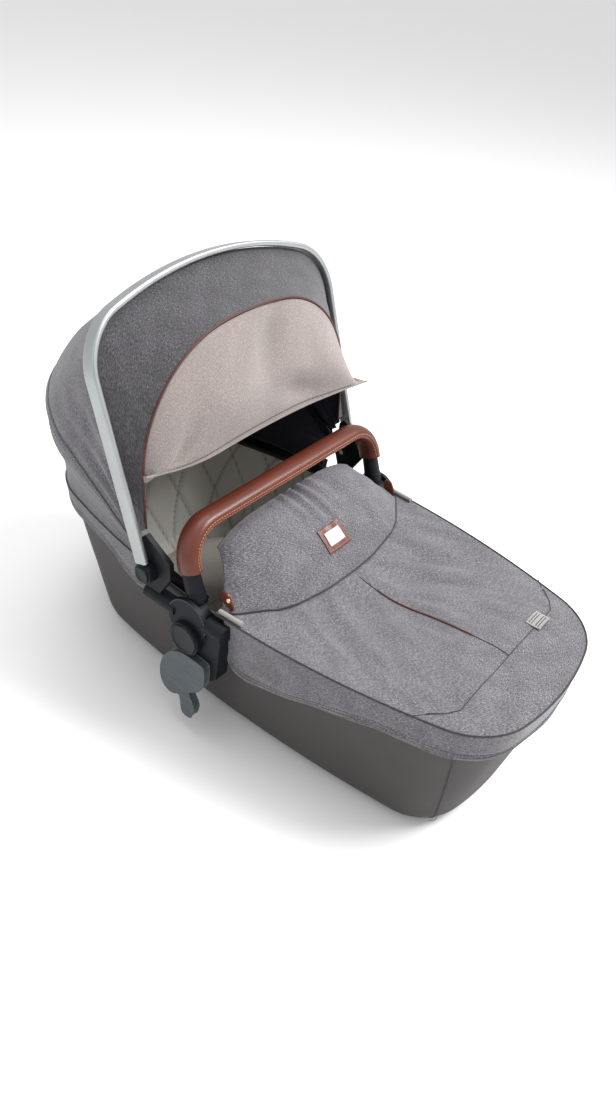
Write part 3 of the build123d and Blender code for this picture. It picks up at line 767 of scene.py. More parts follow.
def band(name, start, hem_x, hem_z, toward_foot, count, puff, seed, replaces):
    """Cloth band outside the rim: the outline hung down to a hem whose depth follows X."""
    rows = 40
    top = plan_open(rim_z, -skirt_out, start, count, toward_foot)
    low = plan_open(skirt_low, -skirt_out, start, count, toward_foot)
    bottom = np.interp(top[:, 0], hem_x, hem_z)
    share = np.linspace(0, 1, rows)[:, None]
    z = rim_z * (1 - share) + bottom[None] * share
    fall = (rim_z - z) / (rim_z - skirt_low)
    plan = top[None, :, :2] * (1 - fall[..., None]) + low[None, :, :2] * fall[..., None]
    out = plan / np.linalg.norm(plan, axis=2, keepdims=True)
    u = np.linspace(0, 1, count)[None]
    puckers = 0.5 + 0.5 * ripple(u * 3, share, seed, 7, 1.0, 4.0)
    loose = 0.0018 * share + puff * share**1.5 * puckers
    plan = plan + out * loose[..., None]
    grid = np.concatenate([plan, z[..., None]], -1)
    cloth = surface(name, grid, away=(0, 0, 0.15))
    dress(cloth, "melange_cloth", "cot", replaces)
    add_wall(cloth, settings().cloth_thickness, offset=0.0)
    widths, depth = grid_lengths(grid)
    border = np.concatenate([grid[:, 0], grid[-1, 1:], grid[-2::-1, -1]])
    dress(tube(f"{name}_hem", resample(border, count), 0.0013, around=8), "melange_cloth", "cot")
    for row, up in enumerate((0.005, 0.010)):
        k = (1 - up / np.maximum(depth, 0.02)) * (rows - 1)
        i = np.clip(k.astype(int), 0, rows - 2)
        f = (k - i)[:, None]
        column = np.arange(count)
        line = grid[i, column] * (1 - f) + grid[i + 1, column] * f
        line[:, :2] += out[0] * 0.0011
        dress(stitching(f"{name}_stitches_{row}", line[3:-3]), "grey_thread", "cot")


def build_skirts():
    """The apron's skirt round the foot and the hood's skirt round the head."""
    band(
        "apron_skirt_cloth", 0.026,
        [0.026, 0.030, 0.036, 0.046, 0.064, 0.133, 0.176, 0.258, 0.42],
        [0.182, 0.156, 0.142, 0.135, 0.133, 0.147, 0.163, 0.183, 0.184],
        True, 360, 0.0050, 21, ["apron_skirt"],
    )
    band(
        "hood_skirt_cloth", -0.120,
        [-0.43, -0.235, -0.215, -0.192, -0.160, -0.137, -0.120],
        [0.199, 0.198, 0.192, 0.175, 0.169, 0.175, 0.196],
        False, 320, 0.002, 22, ["hood_skirt"],
    )


# ---- wind flap -------------------------------------------------------------------------------
def flap_surface(u, v):
    """Flap between its sewn front arc and gathered rear edge, crowned, with fading pleats."""
    y_front = 0.206 * u
    near = np.abs(y_front)
    front_at = [0, 0.05, 0.115, 0.145, 0.195, 0.206]
    x_front = np.interp(near, front_at, [0.085, 0.084, 0.075, 0.064, 0.030, 0.014])
    z_front = np.interp(near, [0, 0.115, 0.195, 0.206], [0.2235, 0.2285, 0.2315, 0.2305])
    z_front = np.maximum(z_front, apron_height(x_front, y_front) + 0.001)
    y_rear = 0.152 * u
    x_rear = -0.050 + 0.004 * np.abs(u) ** 3
    z_rear = 0.2985 - 0.006 * u**4
    x = x_front * (1 - v) + x_rear * v
    y = (y_front * (1 - v) + y_rear * v) * (1 - 0.038 * np.sin(np.pi * v) * u**4)
    climb = 1 - (1 - v) ** 1.38
    z = z_front * (1 - climb) + z_rear * climb
    crown = 0.011 * np.sin(np.pi * v) ** 0.8 * np.clip(1 - np.abs(u) ** 6, 0, 1)
    side_drop = -0.014 * np.sin(np.pi * v * 0.5) * np.abs(u) ** 5
    pleats = np.sin(2 * np.pi * (u * 6 + 0.3 * np.sin(5 * u) + 0.15 * v))
    gathers = 0.0055 * v**2.5 * pleats * np.exp(-(((u - 0.08) / 0.26) ** 2))
    folds = 0.0022 * ripple(u * 0.9, v, 31, 8, 0.8, 3.0) * np.sin(np.pi * np.clip(v * 1.1, 0, 1))
    lift = crown + gathers + folds
    return np.stack([x + 0.45 * lift, y, z + side_drop + 0.88 * lift], -1)


def build_flap():
    """Wind flap as one sheet, with piping, label and rear hem."""
    u, v = np.meshgrid(np.linspace(-1, 1, 181), np.linspace(0, 1, 90))
    grid = flap_surface(u, v)
    flap = surface("wind_flap_cloth", grid, away=(0, 0, 0))
    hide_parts("wind_flap", "wind_flap_base")
    dress(flap, "melange_cloth")
    add_wall(flap, settings().cloth_thickness)
    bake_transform(flap)
    front = grid[0] + [0.0004, 0, 0.0004]
    dress(tube("flap_piping", resample(front, 220), 0.0014, around=8), "dark_piping", "cot")
    rear = grid[-1] + [0, 0, -0.0015]
    hem = tube("flap_rear_hem", resample(rear, 260), 0.0024, around=10)
    dress(hem, "melange_cloth", "wind_flap")
    build_label(grid)


def build_label(grid):
    """Leather label with a pale plate: patches of the flap's surface, half flattened and lifted."""
    low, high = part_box("flap_label")
    middle = grid[:, grid.shape[1] // 2]
    v_mid = np.interp(-(low.x + high.x) / 2, -middle[:, 0], np.linspace(0, 1, len(middle)))
    reach_u, reach_v = 0.130, 0.118
    for name, wide, deep, lift, thick, finish, node in (
        ("label_border", 1.0, 1.0, 0.0022, 0.0016, "tan_leather", "flap_label"),
        ("label_face", 0.70, 0.55, 0.0036, 0.0014, "label_enamel", "label_plate"),
    ):
        u = np.linspace(-1, 1, 41)[None, :] * reach_u * wide
        v = v_mid + np.linspace(-1, 1, 25)[:, None] * reach_v * deep
        patch = flap_surface(u + 0 * v, v + 0 * u)
        tilt = np.polyfit(patch[..., 0].ravel(), patch[..., 2].ravel(), 1)
        patch[..., 2] = 0.5 * patch[..., 2] + 0.5 * np.polyval(tilt, patch[..., 0])
        patch = patch + label_out * lift
        piece = surface(name, patch, away=(0, 0, 0))
        dress(piece, finish, "cot", [node])
        add_wall(piece, thick)
        bevel = piece.modifiers.new("Edge", "BEVEL")
        bevel.width, bevel.segments, bevel.limit_method = 0.0004, 2, "ANGLE"
        if name == "label_border":
            inner = patch[2:-2, 2:-2]
            edge = np.concatenate(
                [inner[0], inner[1:, -1], inner[-1, -2::-1], inner[-2:0:-1, 0], inner[:1, 0]]
            )
            sewn = stitching("label_stitches", edge + label_out * 0.0004, 0.0034, 0.0023, 0.0004)
            dress(sewn, "tan_thread", "cot")


# ---- hood ------------------------------------------------------------------------------------
def hood_arch(angle):
    """Arch of the canopy at an angle, with half width, height and shoulder interpolated."""
    at = [bow_angle, 136, mid_angle, 156, 170, rear_angle]
    half = np.interp(angle, at, [bow_half, 0.226, 0.2235, 0.219, 0.214, 0.2125])
    height = np.interp(angle, at, [0.3692, 0.352, 0.345, 0.339, 0.331, 0.3265])
    corner = np.interp(angle, at, [bow_corner, 0.118, 0.126, 0.140, 0.158, 0.170])
    foot = np.interp(angle, [bow_angle, 130, rear_angle], [bow_foot, 0.042, 0.026])
    return arch(half, height, corner, foot)


def canopy_panel(name, first, last, replaces, seed):
    """Canopy cloth between two bows: their arches swept from angle to angle, with a soft sag.

    The rear panel's plan moves on to the rim's outline as it nears the rim, by a smooth step."""
    rows = 56
    angles = np.linspace(first, last, rows)
    arches = np.stack([hood_arch(a) for a in angles])
    share = np.linspace(0, 1, rows)[:, None]
    along = np.linspace(0, 1, arches.shape[1])[None]
    reach = np.sin(np.pi * along) ** 0.4
    sag = -0.004 * np.sin(np.pi * share) ** 2 * reach
    folds = 0.0020 * ripple(share, along * 2.2, seed, 9, 0.6, 3.2) * np.sin(np.pi * share)
    leg = np.clip(1 - np.minimum(along, 1 - along) / 0.30, 0, 1)
    waves = np.sin(2 * np.pi * (share * 3.2 + 1.3 * leg))
    pulls = 0.0038 * waves * leg**1.3 * np.sin(np.pi * share)
    move = sag + folds + pulls
    away = arches - arch_core
    away /= np.linalg.norm(away, axis=2, keepdims=True)
    arches = arches + away * move[..., None]
    grid = np.stack([in_plane(a, t, hood_pivot) for a, t in zip(arches, angles)])
    if last == rear_angle:
        rim = plan_open(rim_z, -0.0030, hood_tuck_x, grid.shape[1], False)
        tuck = np.clip((angles - tuck_angle) / (rear_angle - tuck_angle), 0, 1)[:, None, None]
        tuck = tuck**2 * (3 - 2 * tuck)
        grid[..., :2] = grid[..., :2] * (1 - tuck) + rim[None, :, :2] * tuck
        drop = np.linspace(0, 1, 9)[1:, None, None]
        foot = rim * [1, 1, 0] + [0, 0, rim_z - 0.012]
        grid = np.concatenate([grid, grid[-1] * (1 - drop) + foot * drop])
    panel = surface(name, grid, away=(-0.15, 0, 0.35))
    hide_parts(*replaces)
    dress(panel, "melange_cloth")
    add_wall(panel, settings().cloth_thickness, finish_of("lining"))
    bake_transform(panel)


def build_seam_strip():
    """Sewn strip of cloth over the middle bow: its arch carried a little to each side."""
    half_width, lift, crown_lift, reach, steps = 0.009, 0.0012, 0.0012, 0.33, 7
    turns = np.degrees(np.linspace(-half_width, half_width, steps) / reach)
    points = hood_arch(mid_angle)
    away = points - arch_core
    away /= np.linalg.norm(away, axis=1, keepdims=True)
    heights = lift + crown_lift * (1 - np.linspace(-1, 1, steps) ** 2)
    grid = np.stack(
        [in_plane(points + away * h, mid_angle + t, hood_pivot) for t, h in zip(turns, heights)]
    )
    strip = surface("hood_seam_strip", grid, away=(-0.15, 0, 0.35))
    dress(strip, "melange_cloth", "hood_mid")
    add_wall(strip, 0.0012)
    for row, k in enumerate((1, steps - 2)):
        line = grid[k] + (grid[k] - grid.mean(0)) * 0.003
        dress(stitching(f"hood_seam_strip_stitches_{row}", line), "grey_thread", "hood_mid")


def fascia_grid():
    """Cloth from the bow forward to the piped front arch: a ruled surface with a shallow dish."""
    rows = 30
    back = in_plane(arch(bow_half, 0.3690, bow_corner, bow_foot), bow_angle, hood_pivot)
    front = in_plane(arch(0.218, 0.311, 0.178, 0.060), fascia_angle, fascia_pivot)
    share = np.linspace(0, 1, rows)[:, None, None]
    grid = back * (1 - share) + front * share
    inward = np.array([-0.10, 0.0, 0.38]) - grid
    inward /= np.linalg.norm(inward, axis=2, keepdims=True)
    along = np.linspace(0, 1, grid.shape[1])[None, :, None]
    dish = 0.006 * np.sin(np.pi * share) * np.sin(np.pi * along) ** 0.5
    folds = 0.0012 * ripple(share[..., 0], along[..., 0] * 2, 41, 7, 0.8, 3.0)[..., None]
    return grid + inward * (dish + folds * np.sin(np.pi * share))


def build_hood():
    """Canopy in two sheets joined at the middle bow, with its strip, fascia and piping."""
    canopy_panel(
        "hood_cloth_front", bow_angle, mid_angle,
        ["hood_front_shell"], 51,
    )
    canopy_panel(
        "hood_cloth_rear", mid_angle, rear_angle,
        ["hood_mid_shell", "hood_rear_shell"], 52,
    )
    build_seam_strip()
    grid = fascia_grid()
    fascia = surface("fascia_cloth", grid, away=(-0.30, 0, 0.20))
    # The fascia takes the cloth darkened as painted shade.
    dress(fascia, "fascia_shade", "hood_front", ["fascia"])
    add_wall(fascia, settings().cloth_thickness, finish_of("lining"))
    dress(tube("fascia_piping", resample(grid[-1], 240), 0.0014), "red_piping", "hood_front")


def visor_grid():
    """Visor from the front arch down to its free edge: a ruled surface with a few soft dents."""
    rows, columns = 70, 161
    u = np.linspace(-1, 1, columns)
    seam = arch(0.2165, 0.3085, 0.176, 0.142)
    top = in_plane(resample(seam, columns), fascia_angle, fascia_pivot)
    side = np.sign(u) * np.abs(u) ** 0.9
    bottom = np.column_stack([-0.078 - 0.022 * (1 - u**2), 0.2215 * side, 0.3895 + 0.003 * u**2])
    bottom[:, 0] -= 0.036 * np.clip((-u - 0.4) / 0.6, 0, 1) ** 2
    v = np.linspace(0, 1, rows)[:, None]
    ease = v + 0.10 * np.sin(np.pi * v)
    grid = top[None] * (1 - ease[..., None]) + bottom[None] * ease[..., None]
    belly = 0.013 * np.sin(np.pi * v) * (1 - u**4)
    dents = (
        -0.016 * bump_at(u + 0.25 * (v - 0.3), v, (0.05, 0.30), (0.10, 0.22))
        - 0.012 * bump_at(u - 0.55 * (v - 0.7), v, (0.24, 0.72), (0.17, 0.16))
        + 0.010 * bump_at(u, v, (-0.24, 0.50), (0.20, 0.30))
        - 0.012 * bump_at(u + 0.5 * (v - 0.6), v, (-0.66, 0.62), (0.10, 0.26))
        + 0.010 * bump_at(u, v, (0.62, 0.52), (0.20, 0.28))
    )
    soft = 0.0016 * ripple(u * 0.8, v, 61, 8, 0.8, 2.6) * np.sin(np.pi * v)
    push = belly + dents + soft
    return grid + push[..., None] * np.array([0.93, 0.0, 0.30])


def build_visor():
    """Visor sheet with a turned hem along its free edge."""
    grid = visor_grid()
    visor = surface("visor_cloth", grid, away=(-0.4, 0, 0.2))
    dress(visor, "visor_cloth")
    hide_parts("visor")
    add_wall(visor, 0.0014)
    hem = tube("visor_hem", resample(grid[-1], 220), 0.0017, around=8)
    dress(hem, "visor_cloth")
    hem_row = grid[-6] + [0.0009, 0, 0.0002]
    stitches = stitching("visor_stitches", hem_row)
    dress(stitches, "grey_thread")
    middle = grid.shape[1] // 2
    crown, foot = grid[0, middle], (grid[0, 0] + grid[0, -1]) / 2
    upward = (crown - foot) / np.linalg.norm(crown - foot)
    forward = np.cross(np.array([0.0, 1.0, 0.0]), upward)
    forward *= np.sign(forward[0])
    reach_out = (grid[-1, middle] - crown) @ forward
    start, end = crown + forward * 0.004, crown + forward * reach_out * 0.85
    for piece in (visor, hem, stitches):
        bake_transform(piece)


# ---- inside ----------------------------------------------------------------------------------
def build_liner():
    """Quilted lining: the inner outline stacked up the wall, puffed between curved sewn lines."""
    leaf_width, leaf_height = 0.075, 0.2
    heights = np.linspace(0.016, 0.2065, 90)
    inset = np.interp(heights, [0.016, 0.033, 0.207], [0.0160, 0.0040, 0.0040])
    grid = np.stack([plan_ring(z, i + 0.004, 480) for z, i in zip(heights, inset)])
    steps = np.linalg.norm(np.diff(grid[-1], axis=0), axis=1)
    around = np.concatenate([[0], np.cumsum(steps)])[None] / leaf_width
    up = heights[:, None] / leaf_height
    leaf = np.abs(np.sin(np.pi * (around + 1.4 * up**1.5)))
    counter = np.abs(np.sin(np.pi * (around - 0.9 * up)))
    sewn = np.minimum(leaf, counter)
    puff = 0.0044 * np.clip(sewn / 0.34, 0, 1) ** 0.45
    inward = -grid[..., :2] / np.linalg.norm(grid[..., :2], axis=2, keepdims=True)
    grid[..., :2] += inward * puff[..., None]
    liner = surface("liner_quilt", grid, wrap_columns=True, flip=True)
    # Painted shade: this attribute is low in the sewn channels, which the lining's material darkens.
    painted_shade_layer = liner.data.attributes.new("Quilt", "FLOAT", "POINT")
    painted_shade_layer.data.foreach_set("value", np.clip(sewn / 0.20, 0, 1).astype(np.float32).ravel())
    dress(liner, "liner_cloth", "cot", ["liner"])
    add_wall(liner, 0.0025)
    for name, side in sides.items():
        x = np.linspace(0.012, 0.052, 30)
        y = side * np.interp(x, [0.012, 0.052], [0.2085, 0.2070])
        path = np.column_stack([x, y, np.full(len(x), 0.2345)])
        dress(tube(f"liner_edge_{name}", path, 0.0034), "liner_cloth", "cot")


def build_mattress():
    """Mattress: stacked outlines closed top and bottom, swelled by a cloth simulation."""
    low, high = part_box("mattress")
    rim = 0.006
    levels = [
        (low.z + 0.001, 0.036), (low.z + rim, 0.031), ((low.z + high.z) / 2, 0.030),
        (high.z - rim - 0.004, 0.031), (high.z - 0.006, 0.040),
    ]
    rings = [plan_ring(low.z, inset, 160) * [1, 1, 0] + [0, 0, z] for z, inset in levels]
    pad = outward(surface("mattress_pad", np.stack(rings), wrap_columns=True, caps=True))
    swell(pad, 0.006, 0.008, low.z + 0.0005, high.z + 0.004)
    dress(pad, "mattress_cloth", "cot", ["mattress"])


def swell(piece, voxel, cap, lowest, highest):
    """Remeshes a pad and inflates it with cloth pressure for 20 frames.

    Each point moves by no more than the cap, and stays between two heights."""
    bpy.context.view_layer.objects.active = piece
    piece.select_set(True)
    remesh = piece.modifiers.new("Remesh", "REMESH")
    remesh.mode = "VOXEL"
    remesh.voxel_size = voxel
    bpy.ops.object.modifier_apply(modifier=remesh.name)
    rest = np.zeros(len(piece.data.vertices) * 3)
    piece.data.vertices.foreach_get("co", rest)
    cloth = piece.modifiers.new("Cloth", "CLOTH")
    cloth.settings.use_pressure = True
    cloth.settings.uniform_pressure_force = 4.0
    cloth.settings.effector_weights.gravity = 0.0
    frames = 20
    cloth.point_cache.frame_end = frames
    for step in range(1, frames + 1):
        bpy.context.scene.frame_set(step)
    bpy.ops.object.modifier_apply(modifier=cloth.name)
    bpy.context.scene.frame_set(1)
    moved = np.zeros_like(rest)
    piece.data.vertices.foreach_get("co", moved)
    rest, moved = rest.reshape(-1, 3), moved.reshape(-1, 3)
    travel = moved - rest
    size = np.linalg.norm(travel, axis=1, keepdims=True)
    moved = rest + travel * np.minimum(1, cap / np.maximum(size, 1e-9))
    moved[:, 2] = np.clip(moved[:, 2], lowest, highest)
    piece.data.vertices.foreach_set("co", moved.ravel())
    finer = piece.modifiers.new("Smooth", "SUBSURF")
    finer.levels = finer.render_levels = 1
    bpy.ops.object.modifier_apply(modifier=finer.name)
    piece.data.shade_smooth()
    piece.select_set(False)


# ---- handle ----------------------------------------------------------------------------------
def handle_axes():
    """Unit vectors up the handle's plane and forward across it."""
    turn = math.radians(handle_angle)
    up = np.array([math.cos(turn), 0.0, math.sin(turn)])
    return up, np.array([math.sin(turn), 0.0, -math.cos(turn)])


def handle_line(start, angle, sink, proud):
    """Line along the grip at an angle round its oval section.

    The handle's path moves out in its plane by the section's half thickness times the sine of the
    angle, less a sink, and forward by its half width times the cosine, plus what stands proud."""
    turn = math.radians(angle)
    out_by = grip_half_thick * math.sin(turn) - sink
    front_by = grip_half_wide * math.cos(turn) + proud
    half, height, corner = handle_half + out_by, handle_height + out_by, handle_corner + out_by
    centre = (half - corner, height - corner)
    bend = arc(centre, corner, (half, height - corner), (half - corner, height))
    right = np.concatenate([[[half, start]], bend])
    points = resample(np.concatenate([right * [-1, 1], right[::-1]]), 260)
    return in_plane(points, handle_angle, handle_pivot) + front_by * handle_axes()[1]


def build_handle():
    """Sewn rows and a folded seam along the grip, and grooved rings on the sockets."""
    for node, finish in (("handle_grip", "tan_leather"), ("handle_tube", "handle_metal")):
        nodes[node].data.materials.clear()
        nodes[node].data.materials.append(finish_of(finish))
    for row, angle in enumerate((-4, -24)):
        line = handle_line(0.069, angle, 0.0001, 0.0002)
        sewn = stitching(f"grip_stitches_{row}", line, 0.0048, 0.0034, 0.0006)
        dress(sewn, "tan_thread", "carry_handle")
    seam = handle_line(0.068, -14, 0.0003, -0.0002)
    dress(tube("grip_seam", seam, 0.0009, around=8), "tan_leather", "carry_handle")
    up, front = handle_axes()
    across = np.array([0, 1.0, 0])
    socket_radius, socket_base, socket_draft = 0.01345, 0.0203, math.tan(math.radians(1.5))
    around = np.linspace(0, 2 * np.pi, 64, endpoint=False)[:, None]
    for name, side in sides.items():
        for row, height in enumerate((0.026, 0.031, 0.036)):
            radius = socket_radius - (height - socket_base) * socket_draft
            centre = handle_pivot + up * height + across * side * handle_half
            ring = centre + radius * (np.cos(around) * front + np.sin(around) * across)
            groove = tube(f"socket_ring_{name}_{row}", ring, 0.0007, closed=True, around=6)
            dress(groove, "black_plastic", "carry_handle")


# ---- hinges, housings and adapters -----------------------------------------------------------
def reach_of(node):
    """Distances of a CAD node's inner and outer faces from the middle plane."""
    low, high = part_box(node)
    return min(abs(low.y), abs(high.y)), max(abs(low.y), abs(high.y))


def disc_of(node):
    """Centre (x, z) and radius of a round CAD node, and its inner and outer faces' distances."""
    low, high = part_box(node)
    centre = ((low.x + high.x) / 2, (low.z + high.z) / 2)
    return centre, (high.x - low.x) / 2, *reach_of(node)


def build_hardware():
    """Dished caps on the buttons, edge lines on the housings and domed studs on the tabs."""
    for name, side in sides.items():
        centre, radius, inner, outer = disc_of(f"release_button_{name}")
        rim = radius - 0.0025
        profile = [
            (radius - 0.001, inner), (radius, inner + 0.001), (radius, outer - 0.0018),
            (radius - 0.0006, outer - 0.0004), (radius - 0.0018, outer), (rim, outer - 0.0003),
            (rim - 0.0012, outer - 0.0018), (rim * 0.55, outer - 0.0030), (0.0005, outer - 0.0034),
        ]
        cap = lathe(f"release_cap_{name}", profile, centre, side)
        dress(cap, "button_plastic", f"release_{name}", [f"release_button_{name}"])
        centre, radius, inner, outer = disc_of(f"hinge_button_{name}")
        profile = [
            (radius - 0.0008, inner), (radius, inner + 0.0008), (radius, outer - 0.0010),
            (radius - 0.0010, outer), (radius * 0.70, outer), (radius * 0.62, outer - 0.0008),
            (0.0004, outer - 0.0010),
        ]
        cap = lathe(f"hinge_cap_{name}", profile, centre, side)
        dress(cap, "button_plastic", f"hinge_button_{name}", [f"hinge_button_{name}"])
        around = np.radians(np.linspace(-8, 188, 90))
        x, z = -0.026 + 0.0335 * np.cos(around), 0.205 + 0.0335 * np.sin(around)
        line = np.column_stack([x, np.full(len(x), side * 0.2311), z])
        dress(tube(f"housing_line_{name}", line, 0.0005, around=6), "slate_plastic", "cot")
        build_adapter(name, side)
    centre, radius, _, top = disc_of("tab_studs")
    base, spring = top - 0.003, top - 0.0022
    turn = np.linspace(0, math.pi / 2, 8)[:-1]
    dome = [(radius * math.cos(t), spring + (top - spring) * math.sin(t)) for t in turn]
    for name, side in sides.items():
        stud = lathe(f"stud_{name}", [(radius, base), *dome, (0.0003, top)], centre, side, 32)
        dress(stud, "brass", "cot", ["tab_studs"])


def build_adapter(name, side):
    """Paddle with a downward tongue: an outline in (x, z), its corners cut three times at a quarter
    and three quarters of each side, carried across its thickness."""
    corners = np.array([
        (-0.030, 0.149), (-0.048, 0.137), (-0.060, 0.118), (-0.0655, 0.098), (-0.0655, 0.080),
        (-0.061, 0.066), (-0.052, 0.0585), (-0.041, 0.0575), (-0.031, 0.064), (-0.0265, 0.064),
        (-0.0245, 0.058), (-0.0215, 0.035), (-0.017, 0.030), (-0.006, 0.030), (-0.001, 0.036),
        (0.003, 0.055), (-0.001, 0.064), (-0.0095, 0.078), (-0.0090, 0.084), (-0.002, 0.088),
        (0.010, 0.098), (0.0165, 0.112), (0.018, 0.128), (0.017, 0.146), (0.012, 0.1505),
        (-0.012, 0.151),
    ])
    for _ in range(3):
        following = np.roll(corners, -1, 0)
        quarter, last = 0.75 * corners + 0.25 * following, 0.25 * corners + 0.75 * following
        corners = np.stack([quarter, last], 1).reshape(-1, 2)
    tangent = np.roll(corners, -1, 0) - np.roll(corners, 1, 0)
    normal = np.column_stack([tangent[:, 1], -tangent[:, 0]])
    normal /= np.linalg.norm(normal, axis=1, keepdims=True)
    inner, outer = reach_of(f"adapter_{name}")
    levels = [
        (inner, 0.0010), (inner + 0.001, 0.0), (outer - 0.0016, 0.0),
        (outer - 0.0005, 0.0004), (outer, 0.0014),
    ]
    grid = []
    for y, inset in levels:
        ring = corners + normal * inset
        grid.append(np.column_stack([ring[:, 0], np.full(len(ring), side * y), ring[:, 1]]))
    grid = np.stack(grid)
    paddle = outward(surface(f"adapter_paddle_{name}", grid, wrap_columns=True, caps=True))
    dress(paddle, "slate_plastic", "cot", [f"adapter_{name}"])


def finish_nodes():
    """Gives each CAD node that stays in view the detailed finish of its slot."""
    known = {"leatherette": "tub_hide"}
    slot_of = {s["node"]: s["material_slot"] for s in frame["record"]["subparts"]}
    for name, node in nodes.items():
        finish = known.get(slot_of[name], slot_of[name])
        node.data.materials.clear()
        node.data.materials.append(finish_of(finish))


# ---- stage -----------------------------------------------------------------------------------
def build_stage():
    """Pale floor, soft lights and the camera."""
    span = np.linspace(-60, 60, 3)
    x, y = np.meshgrid(span, span)
    floor = surface("floor", np.stack([x, y, 0 * x], -1), away=(0, 0, -1))
    g = Graph("pale_floor")
    g.fixed(Base_Color=(0.92, 0.92, 0.92, 1), Roughness=0.9)
    floor.data.materials.append(g.material)
    world = bpy.data.worlds.new("Studio")
    world.use_nodes = True
    background = world.node_tree.nodes["Background"]
    background.inputs["Color"].default_value = (1, 1, 1, 1)
    background.inputs["Strength"].default_value = 0.76
    bpy.context.scene.world = world
    aim = np.array([0, 0, 0.25])
    for name, place, size, power in (
        ("key", (1.5, 1.3, 2.6), 1.3, 112),
        ("fill", (-0.8, -2.4, 1.9), 2.4, 9),
        ("top", (-0.7, 0.2, 3.0), 1.8, 34),
    ):
        light = bpy.data.lights.new(name, "AREA")
        light.size, light.energy = size, power
        lamp = bpy.data.objects.new(name, light)
        lamp.location = place
        direction = aim - np.array(place)
        lamp.rotation_euler = Vector(direction).to_track_quat("-Z", "Y").to_euler()
        bpy.context.scene.collection.objects.link(lamp)
    bpy.context.scene.view_settings.view_transform = "Standard"
    build_camera()


def build_camera():
    """Camera turned to an azimuth, raised, rolled, and drawn back from the origin."""
    azimuth, elevation, roll = math.radians(33.06), math.radians(38.12), math.radians(8.26)
    level = math.cos(elevation)
    back = np.array(
        [math.sin(azimuth) * level, -math.cos(azimuth) * level, math.sin(elevation)]
    )
    right = np.array([math.cos(azimuth), math.sin(azimuth), 0.0])
    up = np.cross(back, right)
    turned_right = math.cos(roll) * right + math.sin(roll) * up
    turned_up = -math.sin(roll) * right + math.cos(roll) * up
    camera = bpy.data.cameras.new("camera")
    camera.sensor_width, camera.lens = 36.0, 28.98
    camera.clip_start, camera.clip_end = 0.05, 50.0
    eye = bpy.data.objects.new("camera", camera)
    axes = (turned_right, turned_up, back)
    place = Matrix(np.column_stack(axes).tolist()).to_4x4()
    origin_seen = np.array([-0.026156, -0.172333, -1.467377])
    place.translation = -sum(axis * way for axis, way in zip(axes, origin_seen))
    eye.matrix_world = place
    bpy.context.scene.collection.objects.link(eye)
    bpy.context.scene.camera = eye


# ---- operators -------------------------------------------------------------------------------
class CARRYCOT_OT_nodes(bpy.types.Operator):
    """Gives the frame's own parts their finishes."""

    bl_idname = "carrycot.nodes"
    bl_label = "Finish frame parts"

    def execute(self, context):
        finish_nodes()
        return {"FINISHED"}


class CARRYCOT_OT_tub(bpy.types.Operator):
    """Makes the leatherette tub, its seams and their stitching."""

    bl_idname = "carrycot.tub"
    bl_label = "Build tub"

    def execute(self, context):
        build_tub()
        return {"FINISHED"}


class CARRYCOT_OT_apron(bpy.types.Operator):
    """Makes the apron, its piping, its seams and the woven tag."""

    bl_idname = "carrycot.apron"
    bl_label = "Build apron"

    def execute(self, context):
        build_apron()
        return {"FINISHED"}


class CARRYCOT_OT_skirts(bpy.types.Operator):
    """Makes the apron's skirt and the hood's skirt."""

    bl_idname = "carrycot.skirts"
    bl_label = "Build skirts"

    def execute(self, context):
        build_skirts()
        return {"FINISHED"}


class CARRYCOT_OT_flap(bpy.types.Operator):
    """Makes the wind flap, its piping, its hem and its label."""

    bl_idname = "carrycot.flap"
    bl_label = "Build wind flap"

    def execute(self, context):
        build_flap()
        return {"FINISHED"}


class CARRYCOT_OT_hood(bpy.types.Operator):
    """Makes the canopy, the strip over its middle bow and the fascia."""

    bl_idname = "carrycot.hood"
    bl_label = "Build hood"

    def execute(self, context):
        build_hood()
        return {"FINISHED"}


class CARRYCOT_OT_visor(bpy.types.Operator):
    """Makes the sun visor, its hem and its stitching."""

    bl_idname = "carrycot.visor"
    bl_label = "Build visor"

    def execute(self, context):
        build_visor()
        return {"FINISHED"}


class CARRYCOT_OT_liner(bpy.types.Operator):
    """Makes the quilted lining and the ends of its edge."""

    bl_idname = "carrycot.liner"
    bl_label = "Build liner"

    def execute(self, context):
        build_liner()
        return {"FINISHED"}


class CARRYCOT_OT_mattress(bpy.types.Operator):
    """Makes the mattress."""

    bl_idname = "carrycot.mattress"
    bl_label = "Build mattress"

    def execute(self, context):
        build_mattress()
        return {"FINISHED"}


class CARRYCOT_OT_handle(bpy.types.Operator):
    """Makes the grip's stitching and seam and the sockets' rings."""

    bl_idname = "carrycot.handle"
    bl_label = "Build handle"

    def execute(self, context):
        build_handle()
        return {"FINISHED"}


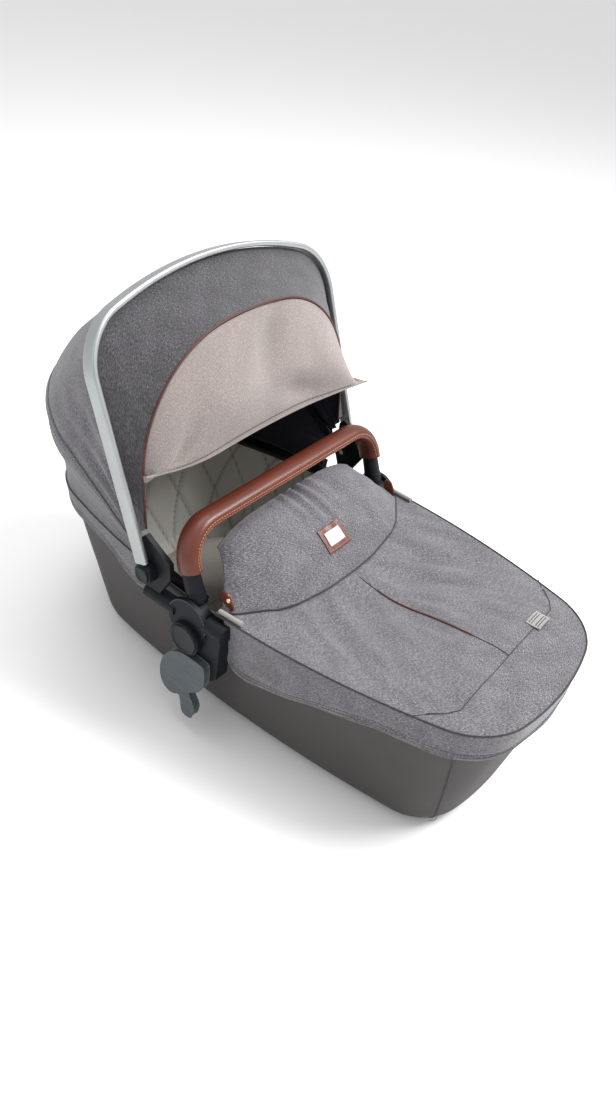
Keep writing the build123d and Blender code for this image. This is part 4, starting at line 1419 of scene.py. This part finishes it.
class CARRYCOT_OT_hardware(bpy.types.Operator):
    """Makes the buttons, housing lines, studs and adapters."""

    bl_idname = "carrycot.hardware"
    bl_label = "Build hardware"

    def execute(self, context):
        build_hardware()
        return {"FINISHED"}


class CARRYCOT_OT_stage(bpy.types.Operator):
    """Makes the floor, the lights and the camera."""

    bl_idname = "carrycot.stage"
    bl_label = "Build stage"

    def execute(self, context):
        build_stage()
        return {"FINISHED"}


operators = [
    CARRYCOT_OT_nodes,
    CARRYCOT_OT_tub,
    CARRYCOT_OT_apron,
    CARRYCOT_OT_skirts,
    CARRYCOT_OT_flap,
    CARRYCOT_OT_hood,
    CARRYCOT_OT_visor,
    CARRYCOT_OT_liner,
    CARRYCOT_OT_mattress,
    CARRYCOT_OT_handle,
    CARRYCOT_OT_hardware,
    CARRYCOT_OT_stage,
]


class CARRYCOT_PT_panel(bpy.types.Panel):
    """Lists the carrycot's building steps and settings."""

    bl_label = "Carrycot"
    bl_idname = "CARRYCOT_PT_panel"
    bl_space_type = "VIEW_3D"
    bl_region_type = "UI"
    bl_category = "Carrycot"

    def draw(self, context):
        for key in CarrycotSettings.__annotations__:
            self.layout.prop(context.scene.carrycot, key)
        for operator in operators:
            self.layout.operator(operator.bl_idname)


classes = [CarrycotSettings, *operators, CARRYCOT_PT_panel]


def register():
    """Registers the classes and puts the settings on the scene."""
    for each in classes:
        bpy.utils.register_class(each)
    bpy.types.Scene.carrycot = PointerProperty(type=CarrycotSettings)


def unregister():
    """Removes the settings and the classes."""
    del bpy.types.Scene.carrycot
    for each in reversed(classes):
        bpy.utils.unregister_class(each)


def main():
    """Builds every piece in order."""
    register()
    bpy.ops.carrycot.nodes()
    bpy.ops.carrycot.tub()
    bpy.ops.carrycot.apron()
    bpy.ops.carrycot.skirts()
    bpy.ops.carrycot.flap()
    bpy.ops.carrycot.hood()
    bpy.ops.carrycot.visor()
    bpy.ops.carrycot.liner()
    bpy.ops.carrycot.mattress()
    bpy.ops.carrycot.handle()
    bpy.ops.carrycot.hardware()
    bpy.ops.carrycot.stage()


if __name__ == "__main__":
    main()
